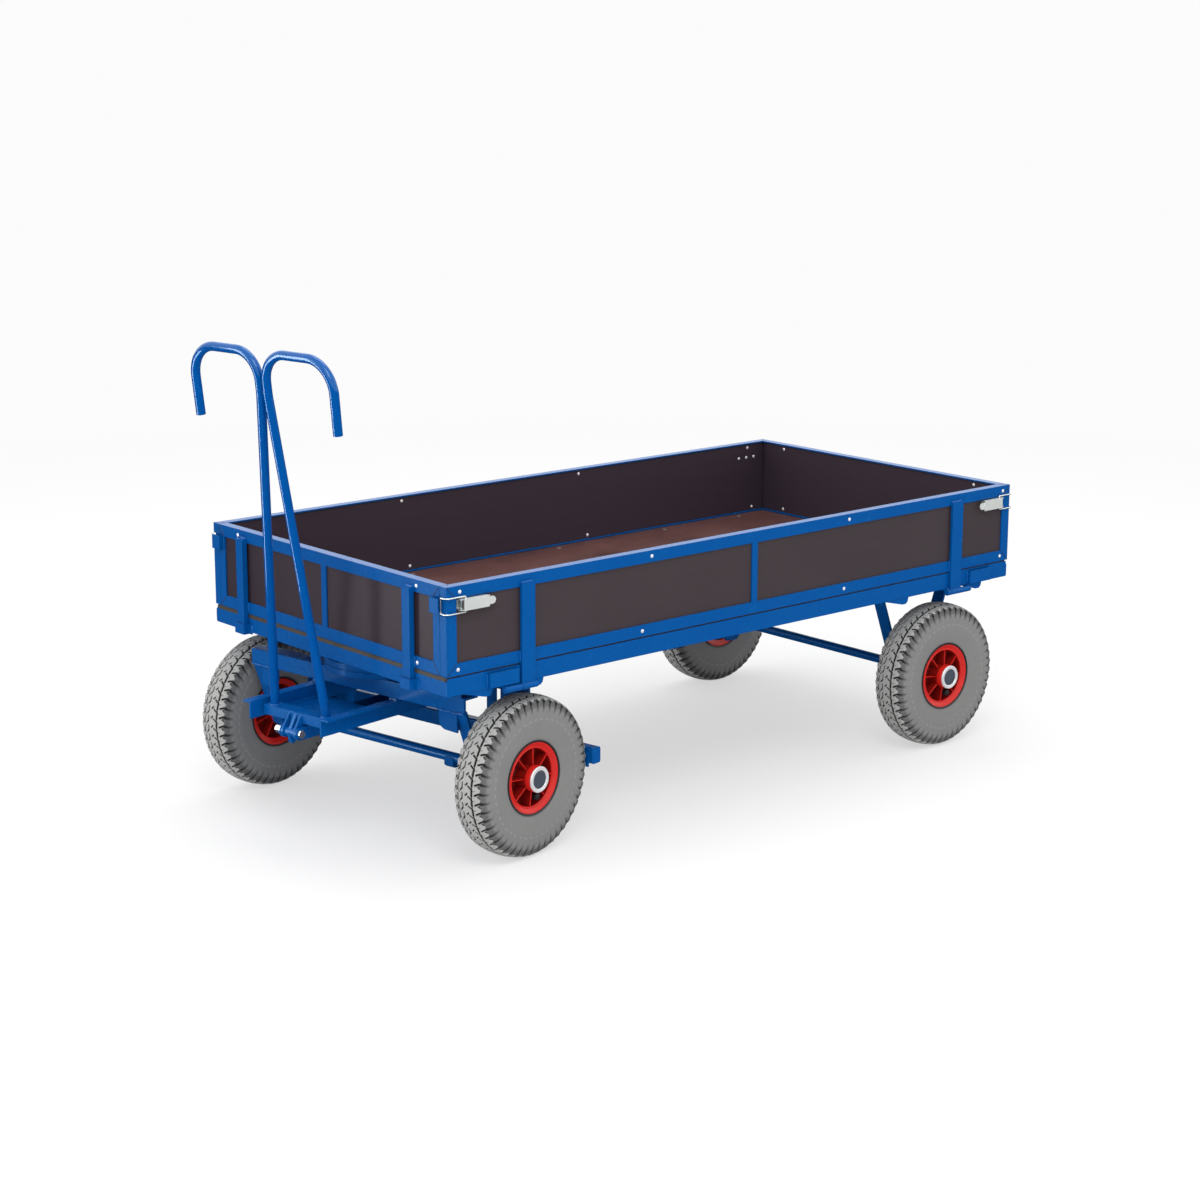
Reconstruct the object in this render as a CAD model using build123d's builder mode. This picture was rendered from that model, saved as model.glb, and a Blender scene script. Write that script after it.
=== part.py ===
"""Platform trolley: turntable-steered hand truck with a board-sided load platform.

Frame: +Z up, origin on the floor under the middle of the platform, front = -X
(the drawbar end), left = -Y. Millimetres. At rest the steered bogie stands
turned by STEER degrees about the kingpin line.
Throughout, end is -1 at the front and +1 at the rear, side is -1 left and +1 right.
"""

from build123d import *
import math
import os

os.makedirs("parts", exist_ok=True)

ENDS = ((-1, "front"), (1, "rear"))
SIDES = ((-1, "left"), (1, "right"))

# ---------------------------------------------------------- shared dimensions
HALF_L = 990.0          # platform half length, outer faces of the boards
RAIL_Y = 492.0          # outer face of the side rails
RAIL_Z0, RAIL_Z1 = 449.0, 485.5      # perimeter rail, bottom and deck seat
RAIL_T, RAIL_FLANGE = 4.0, 25.0      # rail wall, flange width from the outer face
LIP_Y, LIP_Z1 = 488.0, 492.5         # lip of the side rails, inner face and top
DECK_Z1 = 495.5         # top of the deck panel
POST_Y, POST_W, POST_T = 354.0, 30.0, 14.0
HINGE_Y, HINGE_Z = 500.0, 440.0
HINGE_R, HINGE_PIN_R = 8.0, 5.0

AXLE_Z = TYRE_R = 200.0
WHEEL_Y = 450.0         # middle plane of each wheel
AXLE_R = 12.5
REAR_X = 744.0          # rear axle line
KING_X = -801.0         # turntable centre line
STEER = 8.85            # steering angle at rest
RING_Z0, RING_Z1 = 401.0, 433.0      # turntable, bottom and top
PIVOT_X, PIVOT_Z = -330.0, 295.0     # drawbar pivot in the bogie's own axes
PIVOT_BOLT_R = 6.0

HERE = Location((0, 0, 0))
KING = Location((KING_X, 0, 0), (0, 0, STEER))
REAR = Location((REAR_X, 0, 0))


# -------------------------------------------------------------------- helpers
def block(x0, x1, y0, y1, z0, z1, at=HERE, mode=Mode.ADD):
    """A straight-sided bar between two corners, in the axes given by at."""
    with Locations(at * Location(((x0 + x1) / 2, (y0 + y1) / 2, (z0 + z1) / 2))):
        Box(abs(x1 - x0), abs(y1 - y0), abs(z1 - z0), mode=mode)


def rod_x(x0, x1, y, z, radius, at=HERE, mode=Mode.ADD):
    with Locations(at * Location(((x0 + x1) / 2, y, z), (0, 90, 0))):
        Cylinder(radius, abs(x1 - x0), mode=mode)


def rod_y(y0, y1, x, z, radius, at=HERE, mode=Mode.ADD):
    with Locations(at * Location((x, (y0 + y1) / 2, z), (90, 0, 0))):
        Cylinder(radius, abs(y1 - y0), mode=mode)


def rod_z(z0, z1, x, y, radius, mode=Mode.ADD):
    with Locations(Location((x, y, (z0 + z1) / 2))):
        Cylinder(radius, abs(z1 - z0), mode=mode)


def plane_at(at, origin, x_dir, z_dir):
    """A sketch plane given in the axes of at."""
    return Plane(at * Plane(origin=origin, x_dir=x_dir, z_dir=z_dir).location)


def xz_plane(x, y, z, at=HERE):
    """A sketch plane drawn in (x, z) whose normal is -Y."""
    return plane_at(at, (x, y, z), (1, 0, 0), (0, -1, 0))


def side_plate(points, y0, y1, at=HERE):
    """A plate standing along X, outline points in (x, z), between y0 and y1."""
    with BuildSketch(xz_plane(0, max(y0, y1), 0, at)) as outline:
        with BuildLine():
            Polyline(*points, close=True)
        make_face()
    extrude(outline.sketch, amount=abs(y1 - y0))


def finish(builder, name):
    builder.part.label = name
    export_step(builder.part, f"parts/{name}.step")


# ------------------------------------------------------------------- platform
with BuildPart() as platform_frame:
    # upright web, then the bottom and top flanges
    with BuildSketch(Plane.XY.offset(RAIL_Z0)):
        Rectangle(2 * HALF_L, 2 * RAIL_Y)
        Rectangle(2 * (HALF_L - RAIL_T), 2 * (RAIL_Y - RAIL_T), mode=Mode.SUBTRACT)
    extrude(amount=RAIL_Z1 - RAIL_Z0)
    with BuildSketch(Plane.XY.offset(RAIL_Z0), Plane.XY.offset(RAIL_Z1 - RAIL_T)):
        Rectangle(2 * HALF_L, 2 * RAIL_Y)
        Rectangle(2 * (HALF_L - RAIL_FLANGE), 2 * (RAIL_Y - RAIL_FLANGE), mode=Mode.SUBTRACT)
    extrude(amount=RAIL_T)
    fillet(platform_frame.edges().filter_by(Axis.Z).filter_by(
        lambda edge: abs(abs(edge.center().X) - HALF_L) < 0.1
        and abs(abs(edge.center().Y) - RAIL_Y) < 0.1), 4)
    for side in (-1, 1):
        block(RAIL_T - HALF_L, HALF_L - RAIL_T, side * LIP_Y, side * RAIL_Y, RAIL_Z1, LIP_Z1)
finish(platform_frame, "platform_frame")

# (x0, x1) of each cross member and of each tab below the side rails
MEMBERS = ((-932, -862), (-750, -680), (-410, -370), (110, 150), (503, 573), (808, 878))
TABS = ((-944, -852), (-790, -698), (490, 587), (798, 886))
MEMBER_Y = RAIL_Y - RAIL_FLANGE - 0.1
MEMBER_T = 4.0
WIDE_MEMBER = 50.0                   # members wider than this are the deep ones
DEEP_Z0, SHALLOW_Z0 = RING_Z1, 453.0
TAB_Z0, TAB_Y0, TAB_Y1 = 431.0, 484.0, 490.5

with BuildPart() as cross_members:
    for x0, x1 in MEMBERS:
        z0 = DEEP_Z0 if x1 - x0 > WIDE_MEMBER else SHALLOW_Z0
        block(x0, x1, -MEMBER_Y, MEMBER_Y, z0, RAIL_Z1)
        block(x0 + MEMBER_T, x1 - MEMBER_T, -MEMBER_Y, MEMBER_Y, z0, RAIL_Z1 - MEMBER_T,
              mode=Mode.SUBTRACT)
    for x0, x1 in TABS:
        for side in (-1, 1):
            side_plate([(x0, RAIL_Z0), (x1 - 24, TAB_Z0), (x1 - 10, TAB_Z0), (x1 - 3, TAB_Z0 + 6),
                        (x1, RAIL_Z0)], side * TAB_Y0, side * TAB_Y1)
finish(cross_members, "cross_members")

# one screw near each end of every cross member
SCREW_Y = 442
SCREWS = [((x0 + x1) / 2, side * SCREW_Y) for x0, x1 in MEMBERS for side in (-1, 1)]

with BuildPart() as deck_panel:
    with BuildSketch(Plane.XY.offset(RAIL_Z1)):
        RectangleRounded(2 * HALF_L - 1, 2 * LIP_Y - 0.4, 7)
    extrude(amount=DECK_Z1 - RAIL_Z1)
    with Locations(*[Location((x, y, DECK_Z1)) for x, y in SCREWS]):
        CounterBoreHole(radius=3.1, counter_bore_radius=5.6, counter_bore_depth=3.1)
finish(deck_panel, "deck_panel")

with BuildPart() as deck_screws:
    for x, y in SCREWS:
        rod_z(DECK_Z1 - 3, DECK_Z1, x, y, 5.4)                # head
        rod_z(RAIL_Z1 + 0.2, DECK_Z1 - 2, x, y, 3.0)          # shank
finish(deck_screws, "deck_screws")

# stake pockets: end pockets hold the posts of the end boards, side pockets stay free
END_POCKET_Z0, END_POCKET_Z1 = 445, 471
END_POCKET_HALF_W, END_PLATE_HALF_W, END_OPENING_HALF_W = 20.5, 31, 16.2
SIDE_POCKET_X = (-826.0, 868.0)
SIDE_POCKET_Z0, SIDE_POCKET_Z1 = 452, 488
SIDE_POCKET_HALF_W, SIDE_POCKET_WALL = 44, 4


def end_pocket_block(end, side, out0, out1, half_w, over=0, mode=Mode.ADD):
    """A block centred on a post, from out0 to out1 beyond the end rail's outer face."""
    block(end * (HALF_L + out0), end * (HALF_L + out1), side * POST_Y - half_w,
          side * POST_Y + half_w, END_POCKET_Z0 - over, END_POCKET_Z1 + over, mode=mode)


with BuildPart() as stake_pockets:
    for end in (-1, 1):
        for side in (-1, 1):
            end_pocket_block(end, side, 0, 19.5, END_POCKET_HALF_W)
            end_pocket_block(end, side, 0, 3, END_PLATE_HALF_W)
            end_pocket_block(end, side, -1, 15.5, END_OPENING_HALF_W, 1, Mode.SUBTRACT)
    for x in SIDE_POCKET_X:
        for side in (-1, 1):
            block(x - SIDE_POCKET_HALF_W, x + SIDE_POCKET_HALF_W,
                  side * RAIL_Y, side * (RAIL_Y + 11), SIDE_POCKET_Z0, SIDE_POCKET_Z1)
            opening = SIDE_POCKET_HALF_W - SIDE_POCKET_WALL
            block(x - opening, x + opening, side * (RAIL_Y - 1), side * (RAIL_Y + 7.5),
                  SIDE_POCKET_Z0 - 1, SIDE_POCKET_Z1 + 1, mode=Mode.SUBTRACT)
finish(stake_pockets, "stake_pockets")

# ------------------------------------------------------------------ turntable
RING_R0, RING_R1 = 120.0, 160.0
RACE_R = (RING_R0 + RING_R1) / 2
RACE_Z = (RING_Z0 + RING_Z1) / 2
BALL_R = 5.0
RING_HALF_GAP = 0.5


def turntable_ring(z0, z1, name):
    """One ring between z0 and z1, with its half of the ball groove."""
    with BuildPart() as ring:
        with BuildSketch(xz_plane(KING_X, 0, 0)):
            with BuildLine():
                Polyline((RING_R0, z0), (RING_R1, z0), (RING_R1, z1), (RING_R0, z1), close=True)
            make_face()
            with Locations((RACE_R, RACE_Z)):
                Circle(BALL_R + 0.1, mode=Mode.SUBTRACT)
        revolve(axis=Axis((KING_X, 0, 0), (0, 0, 1)))
    finish(ring, name)


turntable_ring(RACE_Z + RING_HALF_GAP, RING_Z1, "turntable_upper_ring")
turntable_ring(RING_Z0, RACE_Z - RING_HALF_GAP, "turntable_lower_ring")

with BuildPart() as turntable_balls:
    with Locations(Location((KING_X, 0, RACE_Z))):
        with PolarLocations(RACE_R, 16):
            Sphere(BALL_R)
finish(turntable_balls, "turntable_balls")

# ------------------------------------------------------------- axle supports
LEG_Y0, LEG_Y1 = 337.0, 375.0        # flat-bar legs, inner and outer edge
LEG_X, LEG_T = 54.0, 8.0             # outer face at axle height, thickness along X
LEG_SLOPE = 0.37                     # run over rise
LEG_FOOT_Z = 188
WEB_Y0, WEB_Y1 = 362, 370            # axle plates between the legs
REAR_WEB = [(-66, 232), (66, 232), (54, 200), (36, 155), (20, 138),
            (-20, 138), (-36, 155), (-54, 200)]
BOGIE_WEB = [(-70, 242), (70, 242), (54, 200), (42, 181), (-42, 181), (-54, 200)]


def axle_leg(end, side, top_z, at):
    """One sloping flat bar, in front of or behind the axle."""
    top_x, foot_x = [end * (LEG_X + LEG_SLOPE * (z - AXLE_Z)) for z in (top_z, LEG_FOOT_Z)]
    back = -end * LEG_T
    side_plate([(top_x, top_z), (foot_x, LEG_FOOT_Z), (foot_x + back, LEG_FOOT_Z),
                (top_x + back, top_z)], side * LEG_Y0, side * LEG_Y1, at)


def axle_web(outline, side, at):
    """Plate between the legs, bored for the axle."""
    side_plate(outline, side * WEB_Y0, side * WEB_Y1, at)
    rod_y(side * 300, side * 380, 0, AXLE_Z, AXLE_R + 0.1, at, Mode.SUBTRACT)


with BuildPart() as rear_axle_supports:
    for side in (-1, 1):
        block(-236, 146, side * LEG_Y0, side * LEG_Y1, DEEP_Z0 - 6, DEEP_Z0, REAR)
        for end in (-1, 1):
            axle_leg(end, side, 430, REAR)
        axle_web(REAR_WEB, side, REAR)
finish(rear_axle_supports, "rear_axle_supports")

# ---------------------------------------------------------------------- axles
AXLE_HALF_L = 505
COLLAR_Y0, COLLAR_Y1, COLLAR_R = 391, 399, 19
LUG = [(-14, 203), (14, 203), (14, 182), (7, 176), (-7, 176), (-14, 182)]
LUG_Y0, LUG_Y1 = 206, 236
CAP_Y1, CAP_R = 511, 22


def axle(at, name, lugs=False):
    with BuildPart() as bar:
        rod_y(-AXLE_HALF_L, AXLE_HALF_L, 0, AXLE_Z, AXLE_R, at)
        for side in (-1, 1):
            rod_y(side * COLLAR_Y0, side * COLLAR_Y1, 0, AXLE_Z, COLLAR_R, at)
            if lugs:
                side_plate(LUG, side * LUG_Y0, side * LUG_Y1, at)
    finish(bar, name)


def axle_caps(at, name):
    """End discs, chamfered round their outer faces."""
    with BuildPart() as caps:
        for side in (-1, 1):
            rod_y(side * (AXLE_HALF_L + 0.1), side * CAP_Y1, 0, AXLE_Z, CAP_R, at)
        chamfer(caps.edges().filter_by(GeomType.CIRCLE).filter_by(
            lambda edge: abs((at.inverse() * Location(edge.center())).position.Y)
            > CAP_Y1 - 0.5), 1.2)
    finish(caps, name)


axle(REAR, "rear_axle")
axle(KING, "front_axle", lugs=True)
axle_caps(REAR, "rear_axle_caps")
axle_caps(KING, "front_axle_caps")

# ---------------------------------------------------------------------- bogie
BEAM_X, BEAM_Y, BEAM_T = 118, 375.0, 6    # beam outer face, half length, thickness
BEAM_Z0 = 361
BEAM_WEB_X = BEAM_X - BEAM_T
GUIDE_Y, GUIDE_Z, GUIDE_R = 250, 203, 7   # guide rods of the brake bar
GUSSET = ((345, 365), (285, 365), (285, 328), (291, 317), (302, 311), (345, 309))  # (|y|, z)

with BuildPart() as bogie_frame:
    for end in (-1, 1):
        # transverse angle beam with its sloping end legs
        block(end * BEAM_X, end * BEAM_WEB_X, -BEAM_Y, BEAM_Y, BEAM_Z0, RING_Z0, KING)
        block(end * BEAM_X, end * 70, -BEAM_Y, BEAM_Y, RING_Z0 - BEAM_T, RING_Z0, KING)
        for side in (-1, 1):
            axle_leg(end, side, 368, KING)
            # gusset under each end of the beam
            with BuildSketch(plane_at(KING, (end * BEAM_WEB_X, 0, 0), (0, 1, 0), (1, 0, 0))):
                with BuildLine():
                    Polyline(*[(side * y, z) for y, z in GUSSET], close=True)
                make_face()
            extrude(amount=-end * 5)
    for side in (-1, 1):
        axle_web(BOGIE_WEB, side, KING)
        # fore-and-aft ties that carry the turntable
        block(-116, 116, side * 100, side * 140, RING_Z0 - 10, RING_Z0, KING)
        # hangers that guide the brake bar
        block(110, BEAM_X, side * (GUIDE_Y - 14), side * (GUIDE_Y + 14), 182, 368, KING)
        rod_x(100, 130, side * GUIDE_Y, GUIDE_Z, GUIDE_R + 0.05, KING, Mode.SUBTRACT)
finish(bogie_frame, "bogie_frame")

TOW_X0 = -352                             # front end of the tow angles
TOW_Y0, TOW_Z0, TOW_Z1 = 122, 310, 354    # web face nearest the middle, bottom, top
CHANNEL_X0, CHANNEL_X1 = -262, 80         # floor of the centre channel
CHANNEL_Y0, CHANNEL_Y1 = 24, 29           # its side walls
CHANNEL_HALF_H = 16
PLATE_Z0, PLATE_Z1 = 316, 322             # cross plates over the channel

with BuildPart() as tow_frame:
    channel_z0, clevis_z1 = PIVOT_Z - CHANNEL_HALF_H, PIVOT_Z + CHANNEL_HALF_H
    for side in (-1, 1):
        block(TOW_X0, BEAM_X, side * TOW_Y0, side * (TOW_Y0 + 5), TOW_Z0, TOW_Z1, KING)
        block(TOW_X0, BEAM_X, side * TOW_Y0, side * 150, TOW_Z1 - 4, TOW_Z1, KING)
        # packing pieces below the beams
        for end in (-1, 1):
            block(end * BEAM_X, end * 100, side * 124, side * 148, TOW_Z1 - 1, BEAM_Z0, KING)
        # centre channel: its front ends are the clevis of the drawbar
        side_plate([(PIVOT_X, channel_z0), (CHANNEL_X1, channel_z0), (CHANNEL_X1, PLATE_Z0),
                    (CHANNEL_X0, PLATE_Z0), (-276, clevis_z1), (PIVOT_X, clevis_z1)],
                   side * CHANNEL_Y0, side * CHANNEL_Y1, KING)
        rod_y(side * CHANNEL_Y0, side * CHANNEL_Y1, PIVOT_X, PIVOT_Z, CHANNEL_HALF_H, KING)
    block(CHANNEL_X0, CHANNEL_X1, -CHANNEL_Y1, CHANNEL_Y1, channel_z0, channel_z0 + 4, KING)
    block(CHANNEL_X0, -118, -125, 125, PLATE_Z0, PLATE_Z1, KING)
    block(60, CHANNEL_X1, -125, 125, PLATE_Z0, PLATE_Z1, KING)
    rod_y(-40, 40, PIVOT_X, PIVOT_Z, PIVOT_BOLT_R + 0.1, KING, Mode.SUBTRACT)
finish(tow_frame, "tow_frame")

HEX_R = 9.5                               # bolt head and nuts, centre to flat
BOLT_Y0, BOLT_Y1 = -CHANNEL_Y1 - 0.2, 54  # under the head, end of the thread
NUTS = ((CHANNEL_Y1 + 0.2, 39.5), (40.0, 50.0))      # (y0, y1)

with BuildPart() as drawbar_bolt:
    rod_y(BOLT_Y0, BOLT_Y1, PIVOT_X, PIVOT_Z, PIVOT_BOLT_R, KING)
    with BuildSketch(xz_plane(PIVOT_X, BOLT_Y0, PIVOT_Z, KING)):
        RegularPolygon(radius=HEX_R, side_count=6, major_radius=False)
    extrude(amount=7.5)
finish(drawbar_bolt, "drawbar_bolt")

with BuildPart() as drawbar_nuts:
    for y0, y1 in NUTS:
        with BuildSketch(xz_plane(PIVOT_X, y1, PIVOT_Z, KING)):
            RegularPolygon(radius=HEX_R, side_count=6, major_radius=False)
            Circle(PIVOT_BOLT_R + 0.05, mode=Mode.SUBTRACT)
        extrude(amount=y1 - y0)
finish(drawbar_nuts, "drawbar_nuts")

# -------------------------------------------------------------------- drawbar
HANDLE_X, HANDLE_Z = -299, 335       # foot of the leaning handle plane
HANDLE_LEAN = 0.1129                 # forward lean of the handle, run over rise
HANDLE = plane_at(KING, (HANDLE_X, 0, HANDLE_Z), (0, 1, 0), (1, 0, HANDLE_LEAN))
HANDLE_TOP_Z = 1228
TUBE_R, TUBE_WALL = 11.4, 2.3
CROSS_X0, CROSS_Z1 = -318, 343       # crosshead angle, front face and top
CROSS_Y, CROSS_T = 112, 6
BRAKE_ARM_Z = 275                    # lower end of the brake lever


def handle_rise(z):
    """Distance up the leaning handle plane to height z."""
    return (z - HANDLE_Z) * math.hypot(1.0, HANDLE_LEAN)


with BuildPart() as drawbar_tubes:
    for side in (-1, 1):
        # up the shank, out along the grip and down the free end
        with BuildLine(HANDLE) as spine:
            FilletPolyline((side * 91.5, handle_rise(333)), (side * 11.8, handle_rise(1128)),
                           (side * 11.8, handle_rise(HANDLE_TOP_Z)),
                           (side * 239, handle_rise(HANDLE_TOP_Z)),
                           (side * 236, handle_rise(1055)), radius=(150, 70, 78))
        with BuildSketch(Plane(origin=spine.line @ 0, z_dir=spine.line % 0)):
            Circle(TUBE_R)
            Circle(TUBE_R - TUBE_WALL, mode=Mode.SUBTRACT)
        sweep(path=spine.line)
    split(bisect_by=Plane.XY.offset(CROSS_Z1), keep=Keep.TOP)
finish(drawbar_tubes, "drawbar_tubes")

with BuildPart() as drawbar_crosshead:
    block(CROSS_X0, CROSS_X0 + CROSS_T, -CROSS_Y, CROSS_Y, 318, CROSS_Z1, KING)
    block(CROSS_X0, -278, -CROSS_Y, CROSS_Y, CROSS_Z1 - CROSS_T, CROSS_Z1, KING)
    # cheeks from the angle down to the pivot
    for side in (-1, 1):
        side_plate([(CROSS_X0, 340), (-290, 340), (-292, 322), (PIVOT_X + 15.5, PIVOT_Z - 4),
                    (PIVOT_X, PIVOT_Z - 15), (PIVOT_X - 14, PIVOT_Z + 7)],
                   side * 17, side * 23, KING)
        rod_y(side * 17, side * 23, PIVOT_X, PIVOT_Z, 15.5, KING)
    # short lever below the pivot that works the brake
    side_plate([(CROSS_X0, 338), (-300, 338), (PIVOT_X + 12, PIVOT_Z), (PIVOT_X + 7, BRAKE_ARM_Z),
                (PIVOT_X - 7, BRAKE_ARM_Z), (PIVOT_X - 12, PIVOT_Z)], -5, 5, KING)
    rod_y(-5, 5, PIVOT_X, BRAKE_ARM_Z, 7, KING)
    rod_y(-23.2, 23.2, PIVOT_X, PIVOT_Z, 11, KING)
    rod_y(-40, 40, PIVOT_X, PIVOT_Z, PIVOT_BOLT_R + 0.05, KING, Mode.SUBTRACT)
finish(drawbar_crosshead, "drawbar_crosshead")

# ---------------------------------------------------------------------- brake
BAR_X, BAR_Z, BAR_HALF_L = 222, 208, 500
BAR_W, BAR_H = 31, 41
BAR_WALL, BAR_END_WALL = 3, 4
BAR_TAB_X = 213                      # front face of the tab that meets the rod
SHOE_R0, SHOE_R1 = 202, 206.4        # about the axle
SHOE_ANGLE = 5.5                     # half angle of the shoe
SHOE_HALF_W = 40

with BuildPart() as brake_bar:
    tube_end = xz_plane(BAR_X, BAR_HALF_L, BAR_Z, KING)
    with BuildSketch(tube_end):
        RectangleRounded(BAR_W, BAR_H, 6)
    extrude(amount=2 * BAR_HALF_L)
    with BuildSketch(tube_end.offset(BAR_END_WALL)):
        RectangleRounded(BAR_W - 2 * BAR_WALL, BAR_H - 2 * BAR_WALL, 3)
    extrude(amount=2 * (BAR_HALF_L - BAR_END_WALL), mode=Mode.SUBTRACT)
    block(BAR_TAB_X, BAR_TAB_X + 12, -4, 4, 227, 300, KING)
    for side in (-1, 1):
        rod_x(98, BAR_X - BAR_W / 2, side * GUIDE_Y, GUIDE_Z, GUIDE_R, KING)
finish(brake_bar, "brake_bar")


def polar(radius, degrees):
    angle = math.radians(degrees)
    return (radius * math.cos(angle), radius * math.sin(angle))


with BuildPart() as brake_shoes:
    for side in (-1, 1):
        inner0, inner, inner1 = [polar(SHOE_R0, a) for a in (-SHOE_ANGLE, 0, SHOE_ANGLE)]
        outer0, outer, outer1 = [polar(SHOE_R1, a) for a in (-SHOE_ANGLE, 0, SHOE_ANGLE)]
        with BuildSketch(xz_plane(0, side * WHEEL_Y + SHOE_HALF_W, AXLE_Z, KING)):
            with BuildLine():
                ThreePointArc(inner0, inner, inner1)
                Line(inner1, outer1)
                ThreePointArc(outer1, outer, outer0)
                Line(outer0, inner0)
            make_face()
        extrude(amount=2 * SHOE_HALF_W)
finish(brake_shoes, "brake_shoes")

with BuildPart() as brake_rod:
    rod_x(-266, BAR_TAB_X, 0, 292, 5, KING)
finish(brake_rod, "brake_rod")

# --------------------------------------------------------------------- wheels
# Sections in (across, radius): across runs outwards along the axle from mid-wheel.
TYRE_BORE = 92.0
TYRE_WALL = [(40, TYRE_BORE), (43.8, 102), (48.5, 125), (50, 148), (49.0, 168), (45.5, 185),
             (38, 194.5)]
BEARING_R = 23.5
HUB_BORE = BEARING_R + 0.05
HUB_END = 57
RIM_SECTION = [(-48, HUB_BORE), (HUB_END, HUB_BORE), (HUB_END, 30.5), (5, 31.5), (5, 70), (37, 72),
               (40, 86.5), (40, 91.4), (-40, 91.4), (-40, 86.5), (-37, 72), (-5, 70), (-5, 31.5),
               (-48, 30.5)]
BEARINGS = ((-46, -34), (43, 55))    # inner and outer bearing, across
RIB_COUNT = 8


def wheel(at, side, tag):
    """Tyre, rim and bearings of one wheel."""
    hub = at * Location((0, side * WHEEL_Y, AXLE_Z))
    section = plane_at(hub, (0, 0, 0), (0, side, 0), (side, 0, 0))
    spin = Axis(hub.position, (hub * Location((0, 1, 0))).position - hub.position)
    with BuildPart() as tyre:
        with BuildSketch(section):
            with BuildLine():
                Line((-40, TYRE_BORE), (40, TYRE_BORE))
                Spline(*TYRE_WALL)
                ThreePointArc((38, 194.5), (0, TYRE_R), (-38, 194.5))
                Spline(*[(-across, radius) for across, radius in reversed(TYRE_WALL)])
            make_face()
        revolve(axis=spin)
    finish(tyre, f"tyre_{tag}")
    with BuildPart() as rim:
        with BuildSketch(section):
            with BuildLine():
                Polyline(*RIM_SECTION, close=True)
            make_face()
        revolve(axis=spin)
        for k in range(RIB_COUNT):
            rib_at = hub * Location((0, 0, 0), (0, 360 / RIB_COUNT * k, 0))
            block(-2.0, 2.0, -35, 35, 29, 72, rib_at)
    finish(rim, f"rim_{tag}")
    with BuildPart() as bearing:
        for y0, y1 in BEARINGS:
            rod_y(side * y0, side * y1, 0, 0, BEARING_R, hub)
            rod_y(side * y0, side * y1, 0, 0, AXLE_R + 0.05, hub, Mode.SUBTRACT)
        # ring against the outer end of the hub
        rod_y(side * (HUB_END + 0.1), side * 61.5, 0, 0, 32.5, hub)
        rod_y(side * HUB_END, side * 61.6, 0, 0, 22.6, hub, Mode.SUBTRACT)
    finish(bearing, f"bearing_{tag}")


for axle_at, (_, end_name) in zip((KING, REAR), ENDS):
    for side, side_name in SIDES:
        wheel(axle_at, side, f"{end_name}_{side_name}")

# ---------------------------------------------------------- side board hinges
# x range of the barrel on the platform, then of the barrel on the board
HINGES = ((-826.0, -774.5, -773.0, -727.0), (731.0, 743.5, 745.0, 824.0))
STILES = ((-772.0, -731.0), (745.5, 788.0))          # x range of each hinge strap

with BuildPart() as hinge_pins:
    for side in (-1, 1):
        for x0, x1, _, x3 in HINGES:
            rod_x(x0, x1, side * HINGE_Y, HINGE_Z, HINGE_R)
            block(x0, min(x1, x0 + 32), side * HINGE_Y, side * 470, HINGE_Z + 3, RAIL_Z0)
            rod_x(x0, x3 + 3, side * HINGE_Y, HINGE_Z, HINGE_PIN_R)
finish(hinge_pins, "hinge_pins")

# --------------------------------------------------------------------- boards
BOARD_Y = 493.0         # outer face of the side boards
BOARD_T = 25.0          # thickness of every board (leg of its angle frame)
BOARD_Z0, BOARD_Z1 = 496.5, 711.0
ANGLE_W, ANGLE_T = 30.0, 4.0         # board frame angle, outer leg and thickness
PANEL_T = 17.0
PANEL_INSET = ANGLE_T + 0.5
PANEL_Z0, PANEL_Z1 = BOARD_Z0 + PANEL_INSET, BOARD_Z1 - PANEL_INSET
BAR_Z0, BAR_Z1 = BOARD_Z0 + 2, BOARD_Z1 - 2          # upright bar at mid-length
BAR_HALF_W = 10
END_BOARD_Y = BOARD_Y - BOARD_T - 1.0                # half width between the side boards
# bottom and top angle: outer leg z0, z1, inward leg z0
BOARD_ANGLES = ((BOARD_Z0, BOARD_Z0 + ANGLE_W, BOARD_Z0),
                (BOARD_Z1 - ANGLE_W, BOARD_Z1, BOARD_Z1 - ANGLE_T))

LATCH_Z = 666.0
LEVER_PIN_X, LEVER_PIN_Y = 950.0, 498.0
LATCH_PIN_R = 2.0

RIVET_R, RIVET_HOLE_R, RIVET_HEAD_R = 2.4, 2.5, 4.6
RIVET_Z0, RIVET_Z1 = BOARD_Z0 + 14.5, BOARD_Z1 - 15.0
# per side: x of the top row, x of the bottom row
RIVET_ROWS = {-1: ((-950, -354, 345, 961), (-957, -384, 330, 957)),
              1: ((-950, -404, 228, 904), (-957, -379, 262, 926))}
SIDE_RIVETS = {side: [(x, RIVET_Z1) for x in top] + [(x, RIVET_Z0) for x in bottom]
               for side, (top, bottom) in RIVET_ROWS.items()}
LATCH_RIVETS = [(end * x, LATCH_Z) for end in (-1, 1) for x in (931, 900, 869)]
END_RIVETS = [(side * 379.0, z) for side in (-1, 1) for z in (RIVET_Z1, RIVET_Z0)]


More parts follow.
